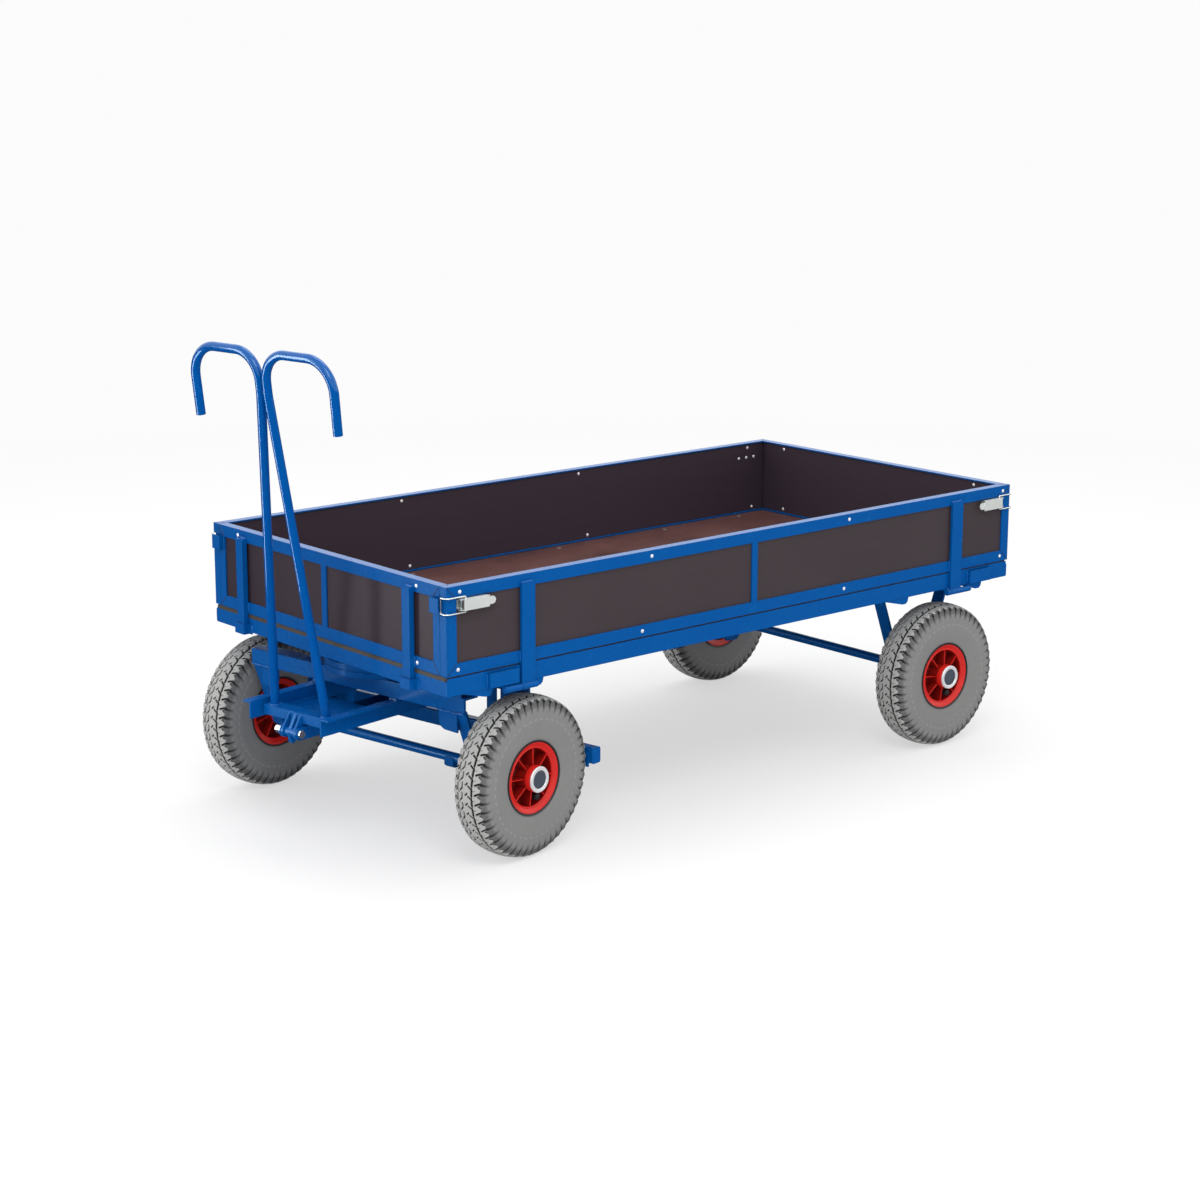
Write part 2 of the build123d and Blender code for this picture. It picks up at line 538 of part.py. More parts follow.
def side_board(side, tag):
    """Frame, panel, rivets and latch bases of one side board."""
    y_out = side * BOARD_Y
    y_panel = side * (BOARD_Y - ANGLE_T)             # outer face of the panel
    y_in = side * (BOARD_Y - BOARD_T)
    y_back = side * (BOARD_Y - ANGLE_T - PANEL_T)    # inner face of the panel
    with BuildPart() as frame:
        for z0, z1, leg in BOARD_ANGLES:
            block(-HALF_L, HALF_L, y_out, y_panel, z0, z1)
            block(-HALF_L, HALF_L, y_out, y_in, leg, leg + ANGLE_T)
        for end in (-1, 1):
            x_end = end * HALF_L
            block(x_end, end * (HALF_L - ANGLE_W), y_out, y_panel, BOARD_Z0, BOARD_Z1)
            block(x_end, end * (HALF_L - ANGLE_T), y_out, y_in, BOARD_Z0, BOARD_Z1)
        block(-BAR_HALF_W, BAR_HALF_W, y_out, y_panel, BAR_Z0, BAR_Z1)
        for (x0, x1), (_, _, x2, x3) in zip(STILES, HINGES):
            block(x0, x1, y_out, side * (BOARD_Y + 8), HINGE_Z + 2, 690)
            rod_x(x2, x3, side * HINGE_Y, HINGE_Z, HINGE_R)
            rod_x(x2 - 1, x3 + 1, side * HINGE_Y, HINGE_Z, HINGE_PIN_R + 0.05, mode=Mode.SUBTRACT)
        for x, z in SIDE_RIVETS[side]:
            rod_y(side * 480, side * 500, x, z, RIVET_HOLE_R, mode=Mode.SUBTRACT)
    finish(frame, f"side_board_frame_{tag}")
    with BuildPart() as panel:
        block(PANEL_INSET - HALF_L, HALF_L - PANEL_INSET, y_panel, y_back, PANEL_Z0, PANEL_Z1)
        for x, z in SIDE_RIVETS[side] + LATCH_RIVETS:
            rod_y(side * 460, side * 500, x, z, RIVET_HOLE_R, mode=Mode.SUBTRACT)
    finish(panel, f"side_board_panel_{tag}")
    with BuildPart() as rivets:
        for x, z in SIDE_RIVETS[side]:
            rod_y(side * 470.0, side * 495.0, x, z, RIVET_R)
            rod_y(y_out, side * 495.2, x, z, RIVET_HEAD_R)
            rod_y(y_back, side * 469.8, x, z, RIVET_HEAD_R)
        for x, z in LATCH_RIVETS:
            rod_y(side * 470.2, side * 488.5, x, z, RIVET_R)
            rod_y(y_back, side * 470.0, x, z, 4.2)
            # the two nearest the corner also pass through the latch base
            if abs(x) > 870:
                rod_y(side * 488.0, side * 492.0, x, z, RIVET_R)
                rod_y(side * 491.0, side * 492.6, x, z, 3.6)
    finish(rivets, f"side_board_rivets_{tag}")
    with BuildPart() as bases:
        for end in (-1, 1):
            block(end * 958, end * 876, y_panel, side * 491, LATCH_Z - 12, LATCH_Z + 12)
            for up in (-1, 1):
                block(end * 955, end * 945.5, y_panel, side * 502,
                      LATCH_Z + up * 8.5, LATCH_Z + up * 10.5)
            rod_z(LATCH_Z - 14.4, LATCH_Z + 14.4, end * LEVER_PIN_X, side * LEVER_PIN_Y,
                  LATCH_PIN_R)
        for x, z in LATCH_RIVETS:
            rod_y(side * 485, side * 496, x, z, RIVET_HOLE_R, mode=Mode.SUBTRACT)
    finish(bases, f"latch_bases_{tag}")


def end_board(end, tag):
    """Frame, panel and rivets of one end board."""
    x_out = end * HALF_L
    x_panel = end * (HALF_L - ANGLE_T)
    x_in = end * (HALF_L - BOARD_T)
    x_back = end * (HALF_L - ANGLE_T - PANEL_T)
    x_post = end * (HALF_L + POST_T)
    with BuildPart() as frame:
        for z0, z1, leg in BOARD_ANGLES:
            block(x_out, x_panel, -END_BOARD_Y, END_BOARD_Y, z0, z1)
            block(x_out, x_in, -END_BOARD_Y, END_BOARD_Y, leg, leg + ANGLE_T)
        for side in (-1, 1):
            block(x_out, x_panel, side * END_BOARD_Y, side * (END_BOARD_Y - 25),
                  BOARD_Z0, BOARD_Z1)
            # post that stands in the end pocket
            y0, y1 = side * POST_Y - POST_W / 2, side * POST_Y + POST_W / 2
            block(x_out, x_post, y0, y1, BOARD_Z0, 691)
            block(end * (HALF_L + 0.6), x_post, y0, y1, 450, BOARD_Z0 + 5)
            # hook plate for the latch loop, open towards the corner
            z0, z1 = LATCH_Z - 18, LATCH_Z + 18
            block(end * (HALF_L + 11.5), x_post, side * 480, side * 446, z0, z1)
            block(x_out, x_post, side * 449.5, side * 446, z0, z1)
        block(x_out, x_panel, -BAR_HALF_W, BAR_HALF_W, BAR_Z0, BAR_Z1)
        for y, z in END_RIVETS:
            rod_x(end * 980, end * 1000, y, z, RIVET_HOLE_R, mode=Mode.SUBTRACT)
    finish(frame, f"end_board_frame_{tag}")
    with BuildPart() as panel:
        block(x_panel, x_back, 0.5 - END_BOARD_Y, END_BOARD_Y - 0.5, PANEL_Z0, PANEL_Z1)
        for y, z in END_RIVETS:
            rod_x(end * 960, end * 1000, y, z, RIVET_HOLE_R, mode=Mode.SUBTRACT)
    finish(panel, f"end_board_panel_{tag}")
    with BuildPart() as rivets:
        for y, z in END_RIVETS:
            rod_x(end * 967, end * 992, y, z, RIVET_R)
            rod_x(x_out, end * 992.2, y, z, RIVET_HEAD_R)
            rod_x(x_back, end * 966.8, y, z, RIVET_HEAD_R)
    finish(rivets, f"end_board_rivets_{tag}")


for side, side_name in SIDES:
    side_board(side, side_name)
for end, end_name in ENDS:
    end_board(end, end_name)

# -------------------------------------------------------------------- latches
LOOP_X, LOOP_Y = 938.0, 500.0        # loop pivot in the lever
# (|x|, |y|) outline of the lever's upper and lower flanges
LEVER_FLANGE = ((955, 495), (877, 498), (873.5, 505), (946, 505.5), (955, 502))
# (|x|, |y|) of one arm of the loop, from its pivot round to the hook plate
LOOP_ARM = ((LOOP_X, LOOP_Y), (986, 500.8), (994.5, 493.5), (994.5, 478))
LOOP_HALF_H, LOOP_TAIL = 19.0, 9.5


def latch(end, side, tag):
    """Toggle lever and wire loop of one corner."""
    with BuildPart() as lever:
        block(end * 946, end * 872, side * 504.5, side * 506.3, LATCH_Z - 14, LATCH_Z + 14)
        for up in (-1, 1):
            with BuildSketch(Plane.XY.offset(LATCH_Z + up * 13.1)):
                with BuildLine():
                    Polyline(*[(end * x, side * y) for x, y in LEVER_FLANGE], close=True)
                make_face()
            extrude(amount=0.7, both=True)
        # thumb tongue
        y0, y1 = side * 503.4, side * 504.9
        block(end * 874, end * 862.5, y0, y1, LATCH_Z - 9.5, LATCH_Z + 9.5)
        rod_y(y0, y1, end * 862.5, LATCH_Z, 9.5)
        for x, y in ((LEVER_PIN_X, LEVER_PIN_Y), (LOOP_X, LOOP_Y)):
            rod_z(LATCH_Z - 20, LATCH_Z + 20, end * x, side * y, LATCH_PIN_R + 0.06,
                  mode=Mode.SUBTRACT)
    finish(lever, f"latch_lever_{tag}")
    with BuildPart() as loop:
        top, bottom = LATCH_Z + LOOP_HALF_H, LATCH_Z - LOOP_HALF_H
        arm = [(end * x, side * y) for x, y in LOOP_ARM]
        with BuildLine() as wire:
            FilletPolyline((*arm[0], bottom + LOOP_TAIL), *[(x, y, bottom) for x, y in arm],
                           *[(x, y, top) for x, y in reversed(arm)],
                           (*arm[0], top - LOOP_TAIL), radius=3.2)
        with BuildSketch(Plane(origin=wire.line @ 0, z_dir=wire.line % 0)):
            Circle(LATCH_PIN_R)
        sweep(path=wire.line)
    finish(loop, f"latch_loop_{tag}")


for end, end_name in ENDS:
    for side, side_name in SIDES:
        latch(end, side, f"{end_name}_{side_name}")
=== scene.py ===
# A four-wheeled platform cart with side and end boards, a steered front bogie and a drawbar.
# Metres, +Z up. The front is at -X and the left side at -Y; the tyres stand on z = 0.
# The CAD pieces get finishes; wheels, rivets, weld beads and mitre seams are modelled here.
import itertools
import math
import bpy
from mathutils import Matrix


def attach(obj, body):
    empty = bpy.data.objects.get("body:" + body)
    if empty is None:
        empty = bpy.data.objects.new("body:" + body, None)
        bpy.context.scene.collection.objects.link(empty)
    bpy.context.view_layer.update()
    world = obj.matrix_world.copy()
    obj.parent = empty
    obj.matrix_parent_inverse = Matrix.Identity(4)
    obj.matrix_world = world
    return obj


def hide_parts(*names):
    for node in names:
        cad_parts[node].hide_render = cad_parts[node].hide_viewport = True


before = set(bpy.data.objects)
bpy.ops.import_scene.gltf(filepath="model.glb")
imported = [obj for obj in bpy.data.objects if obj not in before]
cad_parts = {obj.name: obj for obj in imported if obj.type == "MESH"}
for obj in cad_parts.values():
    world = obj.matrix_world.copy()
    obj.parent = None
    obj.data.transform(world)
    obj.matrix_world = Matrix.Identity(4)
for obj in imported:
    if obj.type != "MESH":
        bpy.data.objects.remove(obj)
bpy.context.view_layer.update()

from fnmatch import fnmatchcase

import bmesh
import bpy
import numpy as np
from mathutils import Matrix, Vector

SCENE = bpy.context.scene

# ---------------------------------------------------------------- main dimensions
TYRE_RADIUS = 0.200
AXLE_Z = TYRE_RADIUS
WHEEL_Y = 0.450                  # middle of the wheels, either side
KING_X, REAR_X = -0.801, 0.744   # kingpin with the front axle, and rear axle
STEER = math.radians(8.85)       # front bogie turned about its kingpin
KING = Matrix.Translation((KING_X, 0, 0)) @ Matrix.Rotation(STEER, 4, "Z")
REAR = Matrix.Translation((REAR_X, 0, 0))
SIDES = ((-1, "left"), (1, "right"))     # sign of Y
ENDS = ((-1, "front"), (1, "rear"))      # sign of X


# ---------------------------------------------------------------- material nodes
class Tree:
    """One material's node tree. The short calls add nodes and return their output."""

    def __init__(self, name):
        self.material = bpy.data.materials.new(name)
        self.material.use_nodes = True
        self.nodes = self.material.node_tree.nodes
        self.links = self.material.node_tree.links
        self.nodes.clear()
        self.output = self.node("OutputMaterial")
        self.surface = self.node("BsdfPrincipled")
        self.links.new(self.surface.outputs[0], self.output.inputs[0])
        self.coord = self.node("TexCoord").outputs["Object"]

    def feed(self, socket, value):
        """Link a socket, or set its value; a three-part colour gets alpha 1."""
        if isinstance(value, bpy.types.NodeSocket):
            self.links.new(value, socket)
        else:
            if isinstance(value, tuple) and len(value) == 3 and socket.type == "RGBA":
                value = (*value, 1.0)
            socket.default_value = value

    def node(self, kind, inputs=None, **props):
        node = self.nodes.new("ShaderNode" + kind)
        for key, value in props.items():
            setattr(node, key, value)
        for key, value in (inputs or {}).items():
            self.feed(node.inputs[key], value)
        return node

    def math(self, operation, first, second=0.0):
        return self.node("Math", {0: first, 1: second}, operation=operation).outputs[0]

    def mul(self, first, second):
        return self.math("MULTIPLY", first, second)

    def add(self, first, second):
        return self.math("ADD", first, second)

    def noise(self, scale, detail=3.0, rough=0.55, distortion=0.0, stretch=None, turn=(0, 0, 0)):
        vector = self.coord
        if stretch:
            mapping = {"Vector": vector, "Rotation": turn, "Scale": stretch}
            vector = self.node("Mapping", mapping).outputs[0]
        return self.node("TexNoise", {"Vector": vector, "Scale": scale, "Detail": detail,
                                      "Roughness": rough,
                                      "Distortion": distortion}).outputs["Fac"]

    def spots(self, low, high, **noise):
        """Mask of the places where a noise rises from low to high."""
        return self.step(self.noise(**noise), low, high)

    def mix(self, factor, first, second, amount=None):
        if amount is not None:
            factor = self.mul(factor, amount)
        return self.node("Mix", {0: factor, 6: first, 7: second}, data_type="RGBA").outputs[2]

    def lerp(self, factor, low, high):
        """Map 0..1 to low..high."""
        return self.node("MapRange", {"Value": factor, "From Min": 0.0, "From Max": 1.0,
                                      "To Min": low, "To Max": high}).outputs[0]

    def step(self, value, low, high):
        """Map low..high to 0..1."""
        return self.node("MapRange", {"Value": value, "From Min": low, "From Max": high,
                                      "To Min": 0.0, "To Max": 1.0}).outputs[0]

    def bump(self, height, strength, distance, normal=None):
        inputs = {"Height": height, "Strength": strength, "Distance": distance}
        if normal is not None:
            inputs["Normal"] = normal
        return self.node("Bump", inputs).outputs[0]

    def bevel(self, radius, samples=2):
        return self.node("Bevel", {"Radius": radius}, samples=samples).outputs[0]

    def geometry(self, output):
        return self.node("NewGeometry").outputs[output]

    def axes(self, vector):
        return self.node("SeparateXYZ", {0: vector}).outputs

    def attribute(self, name):
        return self.node("Attribute", attribute_name=name).outputs["Fac"]

    def edge(self, bevel_normal):
        """1 along rounded edges, 0 on the flats."""
        dot = self.node("VectorMath", {0: bevel_normal, 1: self.geometry("True Normal")},
                        operation="DOT_PRODUCT").outputs["Value"]
        return self.step(dot, low=0.985, high=0.80)

    def set(self, **values):
        """Feed the surface inputs, named with underscores; return the material."""
        for key, value in values.items():
            self.feed(self.surface.inputs[key.replace("_", " ")], value)
        return self.material


# ---------------------------------------------------------------- materials
def powder_coat(name, rough, spec, coat, coat_rough):
    """Blue powder coat: paler rounded edges in patches, partly wear and partly a painted
    highlight; dust specks and orange peel.
    """
    tree = Tree(name)
    wide = tree.noise(scale=2.2, detail=2.0, rough=0.5)
    fine = tree.noise(scale=46.0, detail=4.0, rough=0.6)
    base = tree.mix(wide, (0.0003, 0.076, 0.300), (0.0006, 0.090, 0.335))
    base = tree.mix(tree.step(fine, low=0.60, high=0.80), base, (0.002, 0.105, 0.37))
    rounded_normal = tree.bevel(radius=0.0022, samples=3)
    # paler rounded edges in patches: partly wear, partly a painted highlight along the edges
    wear_and_edge_highlight = tree.mul(tree.edge(rounded_normal),
                    tree.spots(low=0.38, high=0.75, scale=60.0, rough=0.7))
    base = tree.mix(wear_and_edge_highlight, base, (0.006, 0.17, 0.56), amount=0.60)
    dust = tree.spots(low=0.74, high=0.82, scale=420.0, detail=2.0, rough=0.6)
    base = tree.mix(dust, base, (0.20, 0.32, 0.50), amount=0.06)
    peel = tree.add(tree.noise(scale=330.0, detail=2.0, rough=0.5),
                    tree.mul(tree.noise(scale=900.0, detail=1.0, rough=0.5), 0.35))
    return tree.set(Base_Color=base, Roughness=tree.lerp(tree.noise(scale=9.0), *rough),
                    Specular_IOR_Level=spec, Specular_Tint=(0.25, 0.68, 1.0),
                    Coat_Weight=coat, Coat_Roughness=coat_rough, Coat_Tint=(0.55, 0.82, 1.0),
                    Normal=tree.bump(peel, strength=0.10, distance=0.0005,
                                     normal=rounded_normal))


def weld_paint():
    tree = Tree("powder_coat_weld")
    ripple = tree.noise(scale=320.0, rough=0.6)
    base = tree.mix(tree.noise(scale=50.0), (0.001, 0.085, 0.34), (0.006, 0.125, 0.44))
    return tree.set(Base_Color=base, Roughness=tree.lerp(ripple, low=0.22, high=0.38),
                    Specular_IOR_Level=0.2, Coat_Weight=0.15, Coat_Roughness=0.15,
                    Normal=tree.bump(ripple, strength=0.35, distance=0.0009))


def film_ply(name, dark, light):
    """Film-faced plywood: smooth phenolic film with faint grain under it."""
    tree = Tree(name)
    grain = tree.noise(scale=6.0, detail=5.0, rough=0.60, distortion=0.5,
                       stretch=(0.7, 11.0, 11.0))
    cloud = tree.noise(scale=2.4)
    film = tree.mix(tree.lerp(grain, low=0.25, high=0.75), dark, light)
    film = tree.mix(tree.step(cloud, low=0.35, high=0.75), film,
                    tuple(part * 1.12 for part in light), amount=0.30)
    scuff = tree.spots(low=0.69, high=0.76, scale=14.0, detail=8.0, rough=0.75,
                       stretch=(1.0, 3.0, 6.0), turn=(0.0, 0.3, 0.4))
    film = tree.mix(scuff, film, (0.16, 0.13, 0.12), amount=0.07)
    speck = tree.spots(low=0.72, high=0.80, scale=260.0, detail=2.0, rough=0.5)
    film = tree.mix(speck, film, (0.20, 0.16, 0.15), amount=0.10)
    # faces turned towards the middle of the cart get a cooler colour, painted light for how
    # those faces are lit
    normal = tree.axes(tree.node("TexCoord").outputs["Normal"])
    place = tree.axes(tree.coord)
    outward = tree.add(tree.mul(normal["X"], place["X"]), tree.mul(normal["Y"], place["Y"]))
    inward_painted_light = tree.step(outward, low=-0.05, high=-0.20)
    cool_painted_light = tree.mix(tree.lerp(grain, low=0.25, high=0.75),
                    (0.036, 0.024, 0.036), (0.052, 0.036, 0.050))
    film = tree.mix(inward_painted_light, film, cool_painted_light)
    fine = tree.noise(scale=520.0, detail=2.0, rough=0.5)
    return tree.set(Base_Color=film, Roughness=tree.lerp(cloud, low=0.34, high=0.46),
                    Specular_IOR_Level=0.22,
                    Normal=tree.bump(tree.add(fine, tree.mul(grain, 0.9)), strength=0.08,
                                     distance=0.0005, normal=tree.bevel(radius=0.0008)))


def deck_ply():
    """Deck panel: pressed mesh pattern on top, brown plies round its edge, darkened as painted
    shade.
    """
    mesh_pitch, ply_pitch = 0.005, 0.0027
    tree = Tree("deck_ply")
    up = tree.math("ABSOLUTE", tree.axes(tree.geometry("True Normal"))["Z"])
    place = tree.axes(tree.coord)
    grain = tree.noise(scale=5.0, detail=7.0, rough=0.66, distortion=0.8,
                       stretch=(1.0, 9.0, 9.0))
    cloud = tree.noise(scale=5.5, detail=6.0, rough=0.66)
    top = tree.mix(tree.step(cloud, low=0.30, high=0.68),
                   (0.052, 0.022, 0.020), (0.112, 0.048, 0.042))
    top = tree.mix(tree.step(grain, low=0.40, high=0.85), top, (0.140, 0.066, 0.062),
                   amount=0.40)
    speck = tree.spots(low=0.60, high=0.75, scale=90.0, rough=0.6)
    top = tree.mix(speck, top, (0.22, 0.125, 0.110), amount=0.26)
    scuff = tree.spots(low=0.63, high=0.71, scale=11.0, detail=9.0, rough=0.78,
                       stretch=(0.8, 3.5, 1.0), turn=(0, 0, 0.35))
    top = tree.mix(scuff, top, (0.26, 0.18, 0.16), amount=0.22)
    waves = [tree.math("SINE", tree.mul(place[axis], 2 * math.pi / mesh_pitch)) for axis in "XY"]
    mesh = tree.math("MAXIMUM", *[tree.step(wave, low=0.45, high=1.0) for wave in waves])
    ply = tree.math("FRACT", tree.mul(place["Z"], 1 / ply_pitch))
    fibre = tree.noise(scale=60.0, detail=6.0, rough=0.7, distortion=0.4,
                       stretch=(1.0, 1.0, 18.0))
    # the plies of the edge: real bands, darkened beyond their own colour as painted shade under
    # the boards
    side = tree.mix(tree.step(ply, low=0.42, high=0.55),
                    (0.060, 0.052, 0.040), (0.030, 0.025, 0.020))
    side = tree.mix(fibre, side, (0.100, 0.084, 0.066), amount=0.45)
    is_top = tree.step(up, low=0.4, high=0.6)
    base = tree.mix(is_top, side, top)
    height = tree.add(tree.mul(mesh, tree.mul(is_top, 0.5)),
                      tree.mul(tree.noise(scale=240.0), 0.4))
    return tree.set(Base_Color=base, Roughness=tree.lerp(cloud, low=0.36, high=0.52),
                    Specular_IOR_Level=0.20,
                    Normal=tree.bump(height, strength=0.22, distance=0.0007,
                                     normal=tree.bevel(radius=0.001)))


def tyre_rubber():
    """Grey rubber with painted light on the tread caps, a painted highlight on the sidewall ring
    dashes and painted shade, near black, in the grooves.
    """
    tree = Tree("tyre_grey_rubber")
    wide = tree.noise(scale=8.0, detail=4.0, rough=0.6)
    fine = tree.noise(scale=170.0, detail=4.0, rough=0.65)
    base = tree.mix(wide, (0.190, 0.190, 0.188), (0.232, 0.232, 0.229))
    base = tree.mix(tree.step(fine, low=0.45, high=0.75), base, (0.275, 0.275, 0.27),
                    amount=0.30)
    groove_painted_shade, cap, ring_painted_highlight = [tree.attribute(name) for name in ("groove_painted_shade", "cap", "ring_painted_highlight")]
    # painted light: the tread caps are paler, as if lit from above
    cap_painted_light = tree.mix(fine, (0.395, 0.398, 0.385), (0.475, 0.478, 0.462))
    base = tree.mix(cap, base, cap_painted_light, amount=0.85)
    # painted highlight on the dashes of the sidewall ring
    base = tree.mix(ring_painted_highlight, base, (0.50, 0.50, 0.49), amount=0.45)
    # painted shade: near black in the grooves and flute valleys
    base = tree.mix(tree.step(groove_painted_shade, low=0.4, high=2.8), base, (0.008, 0.008, 0.009),
                    amount=0.95)
    height = tree.add(fine, tree.mul(tree.noise(scale=900.0, detail=2.0), 0.5))
    return tree.set(Base_Color=base, Roughness=tree.lerp(fine, low=0.62, high=0.82),
                    Specular_IOR_Level=0.2,
                    Normal=tree.bump(height, strength=0.20, distance=0.0006))


def moulded_red(name, shade_gain=1.0):
    """Red moulded plastic; gain darkens it, for the copy that carries painted shade."""
    def shade(*colour):
        return tuple(part * shade_gain for part in colour)

    tree = Tree(name)
    wide = tree.noise(scale=11.0, rough=0.5)
    base = tree.mix(wide, shade(0.600, 0.0130, 0.0090), shade(0.690, 0.0200, 0.0140))
    speck = tree.spots(low=0.70, high=0.80, scale=350.0, detail=2.0, rough=0.6)
    base = tree.mix(speck, base, shade(0.80, 0.12, 0.09), amount=0.10)
    fine = tree.noise(scale=420.0, rough=0.6)
    return tree.set(Base_Color=base, Roughness=tree.lerp(wide, low=0.26, high=0.38),
                    Specular_IOR_Level=0.35,
                    Normal=tree.bump(fine, strength=0.10, distance=0.0004,
                                     normal=tree.bevel(radius=0.0010)))


def metal(name, dark, light, rough, scale, metallic=1.0):
    """Blotched, lightly stained metal; scale is that of its surface noise."""
    tree = Tree(name)
    brushed = tree.noise(scale, detail=5.0, rough=0.6, stretch=(1, 1, 1))
    blotch = tree.noise(scale=22.0, detail=4.0, rough=0.6)
    base = tree.mix(blotch, dark, light)
    stain = tree.spots(low=0.62, high=0.78, scale=75.0, detail=6.0, rough=0.7)
    base = tree.mix(stain, base, tuple(part * 0.55 for part in dark), amount=0.18)
    return tree.set(Base_Color=base, Metallic=metallic, Roughness=tree.lerp(brushed, *rough),
                    Normal=tree.bump(brushed, strength=0.10, distance=0.0004,
                                     normal=tree.bevel(radius=0.0006)))


def dull(name, dark, light, rough):
    tree = Tree(name)
    fine = tree.noise(scale=120.0, detail=4.0, rough=0.6)
    return tree.set(Base_Color=tree.mix(fine, dark, light),
                    Roughness=tree.lerp(fine, low=rough - 0.08, high=rough + 0.08),
                    Normal=tree.bump(fine, strength=0.2, distance=0.0004))


BLUE = powder_coat("powder_coat_blue", rough=(0.22, 0.32), spec=0.19, coat=0.12,
                   coat_rough=0.10)
BLUE_TUBE = powder_coat("powder_coat_blue_tube", rough=(0.10, 0.16), spec=0.34, coat=0.45,
                        coat_rough=0.05)
WELD = weld_paint()
PANEL_SIDE = film_ply("film_ply_sides", dark=(0.044, 0.032, 0.036), light=(0.058, 0.044, 0.048))
PANEL_END = film_ply("film_ply_ends", dark=(0.026, 0.015, 0.021), light=(0.038, 0.023, 0.030))
DECK = deck_ply()
TYRE = tyre_rubber()
RED = moulded_red("rim_red_plastic")
# a darker copy of the rim red: painted shade for the recess and the ribs' sides
RED_PAINTED_SHADE = moulded_red("rim_red_painted_shade", shade_gain=0.36)
ZINC = metal("zinc_plate", dark=(0.72, 0.745, 0.70), light=(0.86, 0.875, 0.83),
             rough=(0.30, 0.48), scale=45.0)
LEVER = metal("zinc_plate_lever", dark=(0.80, 0.82, 0.765), light=(0.90, 0.915, 0.865),
              rough=(0.38, 0.55), scale=40.0, metallic=0.55)
STEEL = metal("bright_steel", dark=(0.50, 0.51, 0.52), light=(0.62, 0.63, 0.64),
              rough=(0.24, 0.40), scale=60.0)
HUB_STEEL = metal("hub_ring_steel", dark=(0.86, 0.87, 0.87), light=(0.95, 0.955, 0.96),
                  rough=(0.22, 0.36), scale=70.0, metallic=0.35)
CAP_STEEL = metal("cap_dark_steel", dark=(0.060, 0.072, 0.098), light=(0.095, 0.110, 0.140),
                  rough=(0.30, 0.42), scale=90.0, metallic=0.25)
ALLOY = metal("rivet_alloy", dark=(0.82, 0.83, 0.83), light=(0.94, 0.945, 0.94),
              rough=(0.26, 0.40), scale=80.0, metallic=0.30)
SCREW = metal("screw_steel", dark=(0.42, 0.42, 0.40), light=(0.58, 0.58, 0.56),
              rough=(0.34, 0.50), scale=90.0, metallic=0.5)
BLACK = dull("black_rubber", dark=(0.010, 0.010, 0.011), light=(0.024, 0.024, 0.026), rough=0.5)
SEAM = dull("seam_shadow", dark=(0.002, 0.010, 0.040), light=(0.003, 0.018, 0.075), rough=0.6)


# ---------------------------------------------------------------- mesh helpers
def finish_mesh(mesh, sharp_angle):
    mesh.polygons.foreach_set("use_smooth", np.ones(len(mesh.polygons), bool))
    mesh.update(calc_edges=True)
    mesh.validate()
    mesh.set_sharp_from_angle(angle=math.radians(sharp_angle))


class Shells:
    """Collects closed shells (vertices, faces) into one mesh."""

    def __init__(self):
        self.verts, self.faces, self.slots = [], [], []

    def add(self, shell, slot=0, matrix=None):
        """Add a shell; slot is one material index, or a list with one for each face."""
        verts, faces = shell
        first = len(self.verts)
        if matrix is not None:
            verts = [matrix @ Vector(point) for point in verts]
        self.verts += [tuple(point) for point in verts]
        self.faces += [tuple(i + first for i in face) for face in faces]
        self.slots += slot if isinstance(slot, list) else [slot] * len(faces)

    def mesh(self, name, materials, sharp_angle):
        mesh = bpy.data.meshes.new(name)
        mesh.from_pydata(self.verts, [], self.faces)
        mesh.validate()
        for material in materials:
            mesh.materials.append(material)
        mesh.polygons.foreach_set("material_index", np.asarray(self.slots, np.int32))
        mesh.polygons.foreach_set("use_smooth", np.ones(len(mesh.polygons), bool))
        mesh.update()
        mesh.set_sharp_from_angle(angle=math.radians(sharp_angle))
        return mesh


def place(name, mesh, body, slot, matrix=None, replaces=None):
    """Make an object that rides on a body; with a matrix it gets its own moved mesh."""
    if matrix is not None:
        mesh = mesh.copy()
        mesh.transform(matrix)
    mesh.name = name
    piece = bpy.data.objects.new(name, mesh)
    SCENE.collection.objects.link(piece)
    bpy.context.view_layer.update()
    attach(piece, body)
    if replaces:
        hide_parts(replaces)


def ring_faces(rings, points):
    """Quads of a closed band of rings, each ring a closed loop of points."""
    i = np.arange(rings)[:, None]
    j = np.arange(points)[None, :]
    after_i, after_j = (i + 1) % rings, (j + 1) % points
    corners = [i * points + j, i * points + after_j,
               after_i * points + after_j, after_i * points + j]
    return np.stack(corners, -1).reshape(-1, 4)


def lathe(profile, segments):
    """Revolve a closed profile of (distance along +Y, radius) about the local Y axis."""
    along, radius = np.asarray(profile, float).T
    angle = np.arange(segments) * 2 * math.pi / segments
    verts = np.empty((segments, len(along), 3))
    verts[:, :, 0] = np.outer(np.cos(angle), radius)
    verts[:, :, 1] = along
    verts[:, :, 2] = np.outer(np.sin(angle), radius)
    return verts.reshape(-1, 3), ring_faces(segments, len(along))[:, [0, 3, 2, 1]]


def rounded(profile, radius, steps=2):
    """Round the corners of a closed profile."""
    points = [Vector(point) for point in profile]
    smooth = []
    for k, corner in enumerate(points):
        back, ahead = points[k - 1] - corner, points[(k + 1) % len(points)] - corner
        cut = min(radius, back.length * 0.45, ahead.length * 0.45)
        start, end = corner + back.normalized() * cut, corner + ahead.normalized() * cut
        for step in range(steps + 1):
            t = step / steps
            smooth.append(tuple((1 - t) ** 2 * start + 2 * t * (1 - t) * corner + t * t * end))
    return smooth


